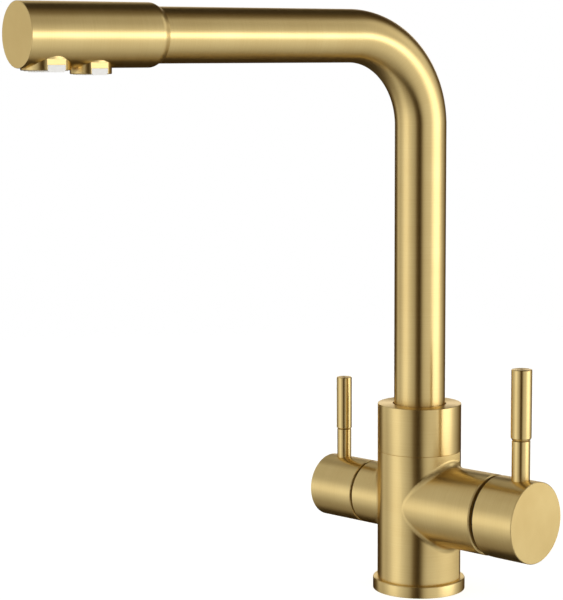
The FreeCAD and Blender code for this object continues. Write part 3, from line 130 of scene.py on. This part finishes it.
def rounded(corners, steps=6):
    """A closed outline from corners of (radius, reach, rounding). An arc of radius r leaves its
    corner's sides at r / tan(half the angle between them), about a centre r / sin(half) away."""
    corners = np.array(corners, dtype=float)
    points, roundings = corners[:, :2], corners[:, 2]
    result = []
    for before, corner, after, rounding in zip(
            np.roll(points, 1, 0), points, np.roll(points, -1, 0), roundings):
        if rounding == 0:
            result.append(corner)
            continue
        to_before = (before - corner) / np.linalg.norm(before - corner)
        to_after = (after - corner) / np.linalg.norm(after - corner)
        half = math.acos(np.clip(to_before @ to_after, -1, 1)) / 2
        middle = (to_before + to_after) / np.linalg.norm(to_before + to_after)
        centre = corner + middle * rounding / math.sin(half)
        first = corner + to_before * rounding / math.tan(half) - centre
        last = corner + to_after * rounding / math.tan(half) - centre
        sweep = math.atan2(first[0] * last[1] - first[1] * last[0], first @ last)
        turn = sweep * np.linspace(0, 1, steps + 1)[:, None]
        square = np.array((-first[1], first[0]))
        result.extend(centre + first * np.cos(turn) + square * np.sin(turn))
    return np.array(result)


def skin(name, points, way, strip, material):
    """A closed mesh over a grid of points. Each quad joins a row to the next and a sector to the
    next, both close round, and points that meet on the axis are merged. Two attributes go with
    it: way, the place in the brushed pattern, and strip, the direction across the brushing."""
    rows, sectors = points.shape[:2]
    index = np.arange(rows * sectors).reshape(rows, sectors)
    beside = np.roll(index, -1, 1)
    quads = np.stack([index, beside, np.roll(beside, -1, 0), np.roll(index, -1, 0)], axis=-1)
    mesh = bpy.data.meshes.new(name)
    mesh.from_pydata((points.reshape(-1, 3) * MM).tolist(), [], quads.reshape(-1, 4).tolist())
    for attribute, values in (("brushed_way", way * MM), ("strip", strip)):
        layer = mesh.attributes.new(attribute, "FLOAT_VECTOR", "POINT")
        layer.data.foreach_set("vector", np.broadcast_to(values, points.shape).ravel())
    mesh.materials.append(material)
    merged = bmesh.new()
    merged.from_mesh(mesh)
    bmesh.ops.remove_doubles(merged, verts=merged.verts, dist=merge_distance * MM)
    merged.to_mesh(mesh)
    merged.free()
    mesh.shade_smooth()
    mesh.set_sharp_from_angle(angle=crease_angle)
    piece = bpy.data.objects.new(name, mesh)
    bpy.context.scene.collection.objects.link(piece)
    return piece


def turned(name, outline, material, axis=Z, side=X, start=(0, 0, 0), sectors=144):
    """A lathe surface. A point of the outline is (radius, reach), and turns to
    start + reach * axis + radius * (cos(angle) * side + sin(angle) * (axis x side)).
    The outline runs up the outside and down the inside, so that its faces point outwards."""
    angle = np.linspace(0, 2 * np.pi, sectors, endpoint=False)
    radial = np.cos(angle)[:, None] * side + np.sin(angle)[:, None] * np.cross(axis, side)
    radius, reach = outline.T
    points = np.array(start) + reach[:, None, None] * axis + radius[:, None, None] * radial
    slope = np.roll(outline, -1, 0) - np.roll(outline, 1, 0)
    slope /= np.maximum(np.linalg.norm(slope, axis=1), tiny)[:, None]
    strip = slope[:, 0, None, None] * radial + slope[:, 1, None, None] * axis
    along = np.concatenate([[0], np.cumsum(np.linalg.norm(np.diff(outline, axis=0), axis=1))])
    way = np.stack(np.broadcast_arrays(
        radius[:, None] * np.cos(angle), radius[:, None] * np.sin(angle), along[:, None]), axis=-1)
    return skin(name, points, way, strip, material)


# Satin brass under a clear gold coat. Belts run round each piece, so the fine lines go round it
# and spread its highlights into long strips along it. The real lines are about 0.05 mm apart;
# they are drawn 0.4 mm apart, the finest that still show.
BRASS_BRIGHT = "#F0D695"
BRASS_DEEP = "#E8CC8B"
BRASS_EDGE = "#F6ECDA"
line_spacing = 0.4
line_length = 30.0
line_depth = 0.01
line_strength = 0.05
line_breakup = 0.6
cloud_size = 20.0
cloud_detail = 2.0
brass_roughness = 0.30
roughness_spread = 0.02
face_roughness = 0.42
highlight_stretch = 0.85


def satin_brass(name, pattern):
    """Brushed brass. pattern(tree) gives the place in the pattern, whose Z runs across the lines,
    the direction across the lines, in the object's own coordinates, and how far a spot is a
    flat end face, from 0 to 1, which is ground evenly and so is a little duller."""
    material, tree = empty_material(name)
    way, strip, face = pattern(tree)
    lines = add_node(tree, "ShaderNodeMapping", {
        "Vector": way,
        "Scale": (1 / (line_length * MM), 1 / (line_length * MM), 1 / (line_spacing * MM)),
    })
    grain = add_node(tree, "ShaderNodeTexNoise", {
        "Vector": lines.outputs["Vector"], "Scale": 1.0,
        "Detail": grain_detail, "Roughness": line_breakup,
    })
    clouds = add_node(tree, "ShaderNodeTexNoise", {
        "Vector": way, "Scale": 1 / (cloud_size * MM), "Detail": cloud_detail,
    })
    # Each noise lies mostly between 0.3 and 0.7, and their sum between 0.7 and 1.3.
    mixed = add_node(tree, "ShaderNodeMath", {
        0: grain.outputs["Fac"], 1: clouds.outputs["Fac"],
    }, operation="ADD")
    tone = add_node(tree, "ShaderNodeMapRange", {
        "Value": mixed.outputs[0], "From Min": 0.7, "From Max": 1.3,
    })
    colour = add_node(tree, "ShaderNodeMix", {
        "Factor": tone.outputs["Result"], "A": linear(BRASS_DEEP), "B": linear(BRASS_BRIGHT),
    }, data_type="RGBA")
    belt = add_node(tree, "ShaderNodeMapRange", {
        "Value": grain.outputs["Fac"], "From Min": 0.3, "From Max": 0.7,
        "To Min": brass_roughness - roughness_spread, "To Max": brass_roughness + roughness_spread,
    })
    rough = add_node(tree, "ShaderNodeMix", {
        "Factor": face, "A": belt.outputs["Result"], "B": face_roughness,
    }, data_type="FLOAT")
    relief = add_node(tree, "ShaderNodeBump", {
        "Height": grain.outputs["Fac"], "Strength": line_strength, "Distance": line_depth * MM,
    })
    across = add_node(tree, "ShaderNodeVectorTransform", {
        "Vector": strip,
    }, vector_type="VECTOR", convert_from="OBJECT", convert_to="WORLD")
    shader = add_node(tree, "ShaderNodeBsdfPrincipled", {
        "Base Color": colour.outputs["Result"],
        "Metallic": 1.0,
        "Roughness": rough.outputs["Result"],
        "Specular Tint": linear(BRASS_EDGE),
        "Anisotropic": highlight_stretch,
        "Tangent": across.outputs["Vector"],
        "Normal": relief.outputs["Normal"],
    })
    add_node(tree, "ShaderNodeOutputMaterial", {"Surface": shader.outputs["BSDF"]})
    return material


def along_the_piece(tree):
    """The pattern follows a piece's own surface, by the attributes made with its mesh."""
    way = add_node(tree, "ShaderNodeAttribute", attribute_name="brushed_way")
    strip = add_node(tree, "ShaderNodeAttribute", attribute_name="strip")
    return way.outputs["Vector"], strip.outputs["Vector"], 0.0


turned_brass = satin_brass("brushed_gold_brass", along_the_piece)

ring_radius = 25.5
ring_height = 6.5
ring_top_edge = 0.8
ring_foot_edge = 0.2
foot_hole_radius = 20.1
foot_hole_edge = 0.1
groove_inner = 21.4
groove_outer = 24.1
groove_depth = 1.5
base_ring = turned("base_ring_turned", rounded([
    (groove_outer, 0, 0),
    (ring_radius, 0, ring_foot_edge),
    (ring_radius, ring_height, ring_top_edge),
    (foot_hole_radius, ring_height, foot_hole_edge),
    (foot_hole_radius, 0, foot_hole_edge),
    (groove_inner, 0, 0),
    (groove_inner, groove_depth, 0),
    (groove_outer, groove_depth, 0),
]), turned_brass)
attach(base_ring, "tap_body")
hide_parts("base_ring")


# --- Body casting ---------------------------------------------------------------------------
# The column and its two branches are one brass casting, bored from its ends for the swivel, the
# mixing cartridge and the filtered water valve, then brushed round each of its axes.

column_radius = 23.0
column_tolerance = 0.05
face_cosine = 0.9                           # between normal and axis, over which a face is an end


def brushed_round(axis, only_beyond=None):
    """A pattern of lines round an axis. Spots whose own normal lies along the axis are end faces,
    ground flat and level. With only_beyond, the lines go round the upright column up to that
    distance from it, and round the axis further out."""
    axis = np.array(axis, dtype=float)

    def pattern(tree):
        source = add_node(tree, "ShaderNodeTexCoord")
        place = source.outputs["Object"]
        upright = add_node(tree, "ShaderNodeMapping", {
            "Vector": place,
            "Rotation": Vector(axis).rotation_difference(Vector(Z)).to_euler(),
        }).outputs["Vector"]
        strip = tuple(axis)
        if only_beyond:
            level = add_node(tree, "ShaderNodeVectorMath", {
                0: place, 1: (1.0, 1.0, 0.0),
            }, operation="MULTIPLY")
            distance = add_node(tree, "ShaderNodeVectorMath", {
                0: level.outputs["Vector"],
            }, operation="LENGTH")
            beyond = add_node(tree, "ShaderNodeMath", {
                0: distance.outputs["Value"], 1: only_beyond * MM,
            }, operation="GREATER_THAN").outputs[0]
            upright = add_node(tree, "ShaderNodeMix", {
                "Factor": beyond, "A": place, "B": upright,
            }, data_type="VECTOR").outputs["Result"]
            strip = add_node(tree, "ShaderNodeMix", {
                "Factor": beyond, "A": tuple(Z), "B": strip,
            }, data_type="VECTOR").outputs["Result"]
        facing = add_node(tree, "ShaderNodeVectorMath", {
            0: source.outputs["Normal"], 1: tuple(axis),
        }, operation="DOT_PRODUCT")
        cosine = add_node(tree, "ShaderNodeMath", {
            0: facing.outputs["Value"],
        }, operation="ABSOLUTE")
        face = add_node(tree, "ShaderNodeMath", {
            0: cosine.outputs[0], 1: face_cosine,
        }, operation="GREATER_THAN").outputs[0]
        strip = add_node(tree, "ShaderNodeMix", {
            "Factor": face, "A": strip, "B": tuple(np.cross(Z, axis)),
        }, data_type="VECTOR").outputs["Result"]
        return upright, strip, face

    return pattern


wear(satin_brass("brushed_brass_casting",
                 brushed_round(X, only_beyond=column_radius + column_tolerance)), "body_casting")


# --- Mixing cartridge -----------------------------------------------------------------------
# Two lapped ceramic discs in a moulded plastic housing, held in its bore by a brass nut. The
# lever's spindle turns and tips on a steel pin, and slides the outer disc through its driver.

# Alumina is ivory white, with a lapped face that is almost a mirror.
ceramic = grained(
    "lapped_alumina", ("#EDEAE0", "#F6F4EC"), grain=2.0, bump=0.005, Roughness=0.12)
# Glass-filled polymer is dull, with a fine pebbled skin.
cartridge_polymer = grained(
    "glass_filled_polymer", ("#CFCDC2", "#DEDCD2"), grain=0.6, bump=0.02, Roughness=0.5)
# Cut brass without its coat is brighter and yellower, with a fine tool finish.
machined_brass = grained(
    "machined_brass", ("#D9BC72", "#EBD391"), grain=0.25, bump=0.01,
    Metallic=1.0, Roughness=0.24)
# Turned stainless steel is grey and has the same fine tool finish, a little duller.
turned_steel = grained(
    "turned_stainless_steel", ("#A9A9A6", "#C6C6C4"), grain=0.25, bump=0.01,
    Metallic=1.0, Roughness=0.28)
wear(ceramic, "cartridge_fixed_disc", "cartridge_moving_disc", "valve_fixed_disc",
     "valve_turning_disc")
wear(cartridge_polymer, "cartridge_base", "cartridge_housing", "cartridge_rotor", "disc_driver")
wear(machined_brass, "cartridge_nut", "mixer_spindle")
wear(turned_steel, "lever_pivot_pin", "mixer_grub_screw", "filter_grub_screw", "spindle_clip",
     "aerator_screen")


# --- Filtered water valve -------------------------------------------------------------------
# A quarter-turn headwork screwed into the smaller branch: a turned brass shell and spindle, with
# a pair of ceramic discs at its inner end and a steel clip at its outer end.

wear(machined_brass, "valve_headwork", "filter_spindle")


# --- Swivel bearing and collar --------------------------------------------------------------
# The spout's brass spigot turns in the column's socket between two acetal washers. The collar
# sleeve, turned to the column's size, is pressed on above it, so that only a faint line shows;
# it holds the spigot's flange down and carries an acetal slide ring round the riser.

# Natural acetal is milky white, with the faint sheen of a turned plastic.
acetal = grained(
    "natural_acetal", ("#E9E8E2", "#F3F2ED"), grain=1.0, bump=0.01, Roughness=0.35)
wear(acetal, "slide_ring", "lower_thrust_washer", "upper_thrust_washer", "filter_elbow")
wear(machined_brass, "spout_spigot")

seam_level = 78.05
seam_edge = 0.05
collar_top = 104.0
collar_edge = 0.35
collar_foot = 71.25
skirt_radius = 19.9
skirt_edge = 0.2
riser_hole_radius = 14.65
riser_hole_edge = 0.3
flange_room_radius = 16.7
flange_room_top = 76.15
slide_groove_radius = 16.6
slide_groove_bottom = 97.0
slide_groove_top = 102.0
collar = turned("collar_turned", rounded([
    (skirt_radius, collar_foot, skirt_edge),
    (skirt_radius, seam_level, 0),
    (column_radius, seam_level, seam_edge),
    (column_radius, collar_top, collar_edge),
    (riser_hole_radius, collar_top, riser_hole_edge),
    (riser_hole_radius, slide_groove_top, 0),
    (slide_groove_radius, slide_groove_top, 0),
    (slide_groove_radius, slide_groove_bottom, 0),
    (riser_hole_radius, slide_groove_bottom, 0),
    (riser_hole_radius, flange_room_top, 0),
    (flange_room_radius, flange_room_top, 0),
    (flange_room_radius, collar_foot, 0),
]), turned_brass)
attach(collar, "tap_body")
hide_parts("collar_sleeve")


# --- Spout tube -----------------------------------------------------------------------------
# One brass tube that rises from the collar, bends once through a quarter circle and runs level
# to the head. It is bent round a former, then brushed round its own axis all the way along. A
# pale polyethylene tube inside it carries the filtered water by itself.

spout_turn = math.radians(12.0)
spout_way = np.array((-math.sin(spout_turn), -math.cos(spout_turn), 0.0))
spout_level = 304.5
bend_radius = 48.0
tube_radius = 14.0
tube_wall = 1.2
tube_foot = 75.05
tube_end = 173.5


def bent_tube(name, radius, wall, foot, end, material, sectors=128, bend_rows=65):
    """A tube along a path that rises, turns through a quarter circle and runs level. Its point is
    centre + radius * (cos(angle) * out + sin(angle) * side), where out turns with the path from
    the spout's direction to straight down, and side is square to both."""
    turn = np.linspace(0, np.pi / 2, bend_rows)[:, None]
    arc = (bend_radius * (1 - np.cos(turn))) * spout_way + (
        spout_level - bend_radius + bend_radius * np.sin(turn)) * Z
    centres = np.vstack([foot * Z, arc, end * spout_way + spout_level * Z])
    turn = np.vstack([[[0.0]], turn, [[np.pi / 2]]])
    heading = np.cos(turn) * Z + np.sin(turn) * spout_way
    out = np.cos(turn) * spout_way - np.sin(turn) * Z
    angle = np.linspace(0, 2 * np.pi, sectors, endpoint=False)[:, None]
    ring = np.cos(angle) * out[:, None] + np.sin(angle) * np.cross(Z, spout_way)
    along = np.concatenate([[0], np.cumsum(np.linalg.norm(np.diff(centres, axis=0), axis=1))])
    walls = [centres[:, None] + size * ring for size in (radius, radius - wall)]
    circle = radius * np.hstack([np.cos(angle), np.sin(angle)])
    way = np.concatenate([
        np.broadcast_to(circle, (len(along), sectors, 2)),
        np.broadcast_to(along[:, None, None], (len(along), sectors, 1)),
    ], axis=-1)
    points = np.concatenate([walls[0], walls[1][::-1]])
    strip = np.concatenate([heading, heading[::-1]])[:, None]
    return skin(name, points, np.concatenate([way, way[::-1]]), strip, material)


spout_tube = bent_tube(
    "spout_tube_bent", tube_radius, tube_wall, tube_foot, tube_end, turned_brass)
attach(spout_tube, "spout")
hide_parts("spout_tube")

# Drawn polyethylene tube is cloudy and bluish white, with a waxy sheen.
pale_tube = grained(
    "pale_polyethylene", ("#DCE2E2", "#E8ECEC"), grain=3.0, bump=0.02, Roughness=0.38)
wear(pale_tube, "filtered_water_tube")


# --- Outlet head ----------------------------------------------------------------------------
# The thicker end of the spout, turned from brass bar: its back shoulder is rounded down to the
# tube and its front face is flat. Two brass outlets with wrench flats screw into its underside.

wear(satin_brass("brushed_brass_head", brushed_round(spout_way)), "outlet_head")
wear(satin_brass("brushed_brass_outlets", brushed_round(Z)),
     "mixed_outlet_housing", "filter_outlet_housing")

# The inserts that make the two streams are moulded in white acetal, glossy from the mould. Their
# lugs show as white tabs in the outlets' flats.
white_acetal = grained(
    "glossy_white_acetal", ("#F4F3EF", "#FCFCFA"), grain=3.0, bump=0.01,
    Roughness=0.15, Coat_Weight=0.3, Coat_Roughness=0.08)
wear(white_acetal, "mixed_aerator_insert", "filter_flow_insert")


# --- Handles --------------------------------------------------------------------------------
# Each handle is a brass cap, hollowed for the works and scooped or cut square at its mouth, held
# on its spindle by a grub screw underneath. It is turned, brushed round, and ground on its end.

wear(satin_brass("brushed_brass_caps", brushed_round(X)), "mixer_cap", "filter_cap")


# --- Levers ---------------------------------------------------------------------------------
# Each lever is a turned brass rod with a stud that screws into its cap, and a slightly thicker
# grip pushed on its tenon. A fine line and a bevel show where the grip begins.

branch_level = 49.0
stud_length = 9.0
tenon_length = 16.0
tenon_gap = 0.05
grip_line = 0.25
stud_edge = 0.3
rod_foot_edge = 0.1
rod_top_edge = 0.2
grip_foot_edge = 0.1
bevel_edge = 0.3
grip_top_edge = 0.4


def lever(side, body, x, stud_radius, rod_radius, grip_radius, foot, step, top, bevel):
    """A rod and its grip, both turned about an upright axis at x; levels are above the branch."""
    start = (x, 0, branch_level)
    tenon_top = step + tenon_length
    rod = turned(f"{side}_lever_rod_turned", rounded([
        (0, foot - stud_length, 0),
        (stud_radius, foot - stud_length, stud_edge),
        (stud_radius, foot, 0),
        (rod_radius, foot, rod_foot_edge),
        (rod_radius, step, rod_top_edge),
        (stud_radius, step, 0),
        (stud_radius, tenon_top, stud_edge),
        (0, tenon_top, 0),
    ]), turned_brass, start=start, sectors=72)
    line = step + grip_line
    bore = stud_radius + tenon_gap
    grip = turned(f"{side}_lever_grip_turned", rounded([
        (bore, line, 0),
        (rod_radius - grip_line, line, grip_foot_edge),
        (grip_radius, line + bevel, bevel_edge),
        (grip_radius, top, grip_top_edge),
        (0, top, 0),
        (0, tenon_top, 0),
        (bore, tenon_top, 0),
    ]), turned_brass, start=start, sectors=72)
    for piece, node in ((rod, f"{side}_lever_rod"), (grip, f"{side}_lever_grip")):
        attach(piece, body)
        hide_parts(node)


lever("mixer", "mixer_handle", x=70.0, stud_radius=3.0, rod_radius=4.9, grip_radius=5.5,
      foot=21.0, step=43.0, top=81.0, bevel=1.3)
lever("filter", "filter_handle", x=-56.0, stud_radius=2.5, rod_radius=4.0, grip_radius=4.3,
      foot=16.5, step=33.5, top=63.4, bevel=0.5)


# --- Floor ----------------------------------------------------------------------------------
# A round sheet of matt white card that fades out before its rim, so that no horizon shows. It
# glows a little, so that it is as white as the background, as in the photograph.

floor_radius = 1200.0
fade_start = 250.0
fade_end = 0.95 * floor_radius
card_glow = 0.80
floor_sectors = 96
angle = np.linspace(0, 2 * np.pi, floor_sectors, endpoint=False)
rim = floor_radius * np.stack([np.cos(angle), np.sin(angle), 0 * angle], axis=-1)
card = bpy.data.meshes.new("studio_floor")
card.from_pydata((rim * MM).tolist(), [], [list(range(len(rim)))])
floor = bpy.data.objects.new("studio_floor", card)
bpy.context.scene.collection.objects.link(floor)
card_material, tree = empty_material("matt_white_card")
place = add_node(tree, "ShaderNodeTexCoord")
distance = add_node(tree, "ShaderNodeVectorMath", {0: place.outputs["Object"]}, operation="LENGTH")
fade = add_node(tree, "ShaderNodeMapRange", {
    "Value": distance.outputs["Value"],
    "From Min": fade_start * MM, "From Max": fade_end * MM,
}, interpolation_type="SMOOTHSTEP")
white = add_node(tree, "ShaderNodeBsdfPrincipled", {
    "Base Color": linear("#F6F6F4"), "Roughness": 0.9, "Specular IOR Level": 0.1,
    "Emission Color": linear("#FFFFFF"), "Emission Strength": card_glow,
})
clear = add_node(tree, "ShaderNodeBsdfTransparent")
faded = add_node(tree, "ShaderNodeMixShader", {
    0: fade.outputs["Result"], 1: white.outputs["BSDF"], 2: clear.outputs["BSDF"],
})
add_node(tree, "ShaderNodeOutputMaterial", {"Surface": faded.outputs["Shader"]})
card.materials.append(card_material)
floor.visible_glossy = False


# --- Camera ---------------------------------------------------------------------------------
# It stands 1.1 m away on the mixer's side, almost as high as the spout, and looks slightly down.
# Its place, angles in radians and focal length in pixels fit the outlines in the photograph.

camera_place = np.array((697.16, -829.99, 291.99))
camera_yaw = 0.7687
camera_pitch = 0.1202
camera_roll = -0.0042
focal_pixels = 1986.8
picture_height = 600                        # the picture's longer side, which the sensor spans
sensor = 36.0
forward = Vector((
    -math.sin(camera_yaw) * math.cos(camera_pitch),
    math.cos(camera_yaw) * math.cos(camera_pitch),
    -math.sin(camera_pitch),
))
level_right = forward.cross(Vector(Z)).normalized()
level_up = level_right.cross(forward)
right = math.cos(camera_roll) * level_right + math.sin(camera_roll) * level_up
above = math.cos(camera_roll) * level_up - math.sin(camera_roll) * level_right
camera = bpy.data.objects.new("photo_camera", bpy.data.cameras.new("photo_camera"))
bpy.context.scene.collection.objects.link(camera)
camera.data.sensor_width = sensor
camera.data.lens = focal_pixels * sensor / picture_height
camera.matrix_world = Matrix.Translation(camera_place * MM) @ Matrix(
    (right, above, -forward)).transposed().to_4x4()
bpy.context.scene.camera = camera
bpy.context.scene.view_settings.view_transform = "Standard"


# --- Light ----------------------------------------------------------------------------------
# A tent of soft light round the tap, with a dark gap in front, where the camera looks in. Each
# lamp's two tables give its brightness by the angle round from the front, in degrees to the
# right, and by the height above the horizon; it is the product of the two.

front = math.atan2(-math.cos(camera_yaw), math.sin(camera_yaw))

# The tent's left and right walls.
LEFT_ROUND = (
    (-180, 0.04), (-150, 0.05), (-136, 0.14), (-121, 0.66), (-106, 0.56), (-90, 0.82), (-80, 1.16),
    (-66, 1.24), (-52, 0.88), (-38, 0.64), (-28, 0.48), (-19, 0.13), (-4, 0.02), (3, 0), (180, 0),
)
LEFT_HEIGHT = (
    (-90, 0.42), (-60, 0.44), (-43, 0.46), (-33, 0.60), (-20, 0.80), (-8, 1.05), (0, 1.05),
    (7, 0.88), (21, 0.60), (33, 0.56), (46, 0.60), (60, 0.50), (90, 0.35),
)
RIGHT_ROUND = (
    (-180, 0), (-4, 0), (3, 0.22), (10, 0.54), (22, 0.72), (40, 0.80), (56, 0.88), (84, 0.86),
    (100, 0.66), (112, 0.52), (130, 0.28), (142, 0.10), (180, 0.04),
)
RIGHT_HEIGHT = (
    (-90, 0.45), (-60, 0.55), (-46, 0.70), (-36, 0.84), (-24, 0.94), (-14, 0.94), (-4, 1.08),
    (4, 1.04), (12, 0.86), (23, 0.64), (36, 0.44), (46, 0.36), (60, 0.26), (90, 0.20),
)
# A bright upright panel on the right, and a soft lamp above and behind it.
PANEL_ROUND = (
    (-180, 0), (42, 0), (52, 0.9), (62, 1.9), (74, 2.2), (88, 1.7), (98, 0.6), (108, 0.1),
    (118, 0), (180, 0),
)
PANEL_HEIGHT = (
    (-90, 0), (-26, 0), (-17, 0.04), (-11, 0.30), (-6, 0.90), (0, 1.10), (5, 0.70), (10, 0.15),
    (17, 0), (90, 0),
)
UPPER_ROUND = ((-180, 0), (80, 0), (94, 0.7), (112, 0.6), (126, 0), (180, 0))
UPPER_HEIGHT = ((-90, 0), (10, 0), (20, 0.9), (42, 0.9), (56, 0), (90, 0))
# A low white backdrop behind the tap, and a soft lamp high above its left half.
BACKDROP_ROUND = ((-180, 1.2), (-162, 1.1), (-150, 0), (150, 0), (162, 1.1), (180, 1.2))
BACKDROP_HEIGHT = ((-90, 0), (1, 0), (6, 0.9), (14, 0.9), (23, 0), (90, 0))
OVERHEAD_ROUND = ((-180, 0.5), (-150, 0.5), (-128, 0.42), (-100, 0.1), (-80, 0), (180, 0))
OVERHEAD_HEIGHT = ((-90, 0), (14, 0), (26, 0.85), (48, 0.85), (66, 0), (90, 0))
# The tent's colour by its brightness: its dim parts stand for brass that is mirrored in brass.
TENT_COLOURS = ((0.0, "#FFC87A"), (0.14, "#FFE8C2"), (0.38, "#FFFBF4"), (0.7, "#FFFFFF"))


def brightness(tree, angle, table):
    """The table's level at an angle in radians. A ramp over the angles from -limit to limit
    degrees, the table's last, holds level / peak, and its result is multiplied by the peak."""
    limit = table[-1][0]
    peak = max(level for degrees, level in table)
    place = add_node(tree, "ShaderNodeMapRange", {
        "Value": angle, "From Min": -math.radians(limit), "From Max": math.radians(limit),
    })
    ramp = add_node(tree, "ShaderNodeValToRGB", {"Fac": place.outputs["Result"]})
    stops = ramp.color_ramp.elements
    while len(stops) < len(table):
        stops.new(1.0)
    for stop, (degrees, level) in zip(stops, table):
        stop.position = (degrees + limit) / (2 * limit)
        stop.color = (level / peak, level / peak, level / peak, 1)
    ramp.color_ramp.interpolation = "EASE"
    return add_node(tree, "ShaderNodeMath", {
        0: ramp.outputs["Color"], 1: peak,
    }, operation="MULTIPLY").outputs[0]


world = bpy.data.worlds.new("light_tent")
bpy.context.scene.world = world
world.use_nodes = True
tree = world.node_tree
tree.nodes.clear()
direction = add_node(tree, "ShaderNodeTexCoord")
from_front = add_node(tree, "ShaderNodeVectorRotate", {
    "Vector": direction.outputs["Generated"], "Angle": -front,
}, rotation_type="Z_AXIS")
split = add_node(tree, "ShaderNodeSeparateXYZ", {"Vector": from_front.outputs["Vector"]})
azimuth = add_node(tree, "ShaderNodeMath", {
    0: split.outputs["Y"], 1: split.outputs["X"],
}, operation="ARCTAN2").outputs[0]
height = add_node(tree, "ShaderNodeMath", {0: split.outputs["Z"]}, operation="ARCSINE").outputs[0]
level = 0.0
for by_azimuth, by_height in (
    (LEFT_ROUND, LEFT_HEIGHT), (RIGHT_ROUND, RIGHT_HEIGHT), (PANEL_ROUND, PANEL_HEIGHT),
    (UPPER_ROUND, UPPER_HEIGHT), (BACKDROP_ROUND, BACKDROP_HEIGHT),
    (OVERHEAD_ROUND, OVERHEAD_HEIGHT),
):
    level = add_node(tree, "ShaderNodeMath", {
        0: brightness(tree, azimuth, by_azimuth),
        1: brightness(tree, height, by_height),
        2: level,
    }, operation="MULTIPLY_ADD").outputs[0]
# The camera itself sees plain white instead of the tent.
ray = add_node(tree, "ShaderNodeLightPath")
shown = add_node(tree, "ShaderNodeMix", {
    "Factor": ray.outputs["Is Camera Ray"], "A": level, "B": 1.0,
}, data_type="FLOAT").outputs["Result"]
tint = add_node(tree, "ShaderNodeValToRGB", {"Fac": shown})
tint_stops = tint.color_ramp.elements
while len(tint_stops) < len(TENT_COLOURS):
    tint_stops.new(1.0)
for stop, (position, colour) in zip(tint_stops, TENT_COLOURS):
    stop.position = position
    stop.color = linear(colour)
background = add_node(tree, "ShaderNodeBackground", {
    "Color": tint.outputs["Color"], "Strength": shown,
})
add_node(tree, "ShaderNodeOutputWorld", {"Surface": background.outputs["Background"]})
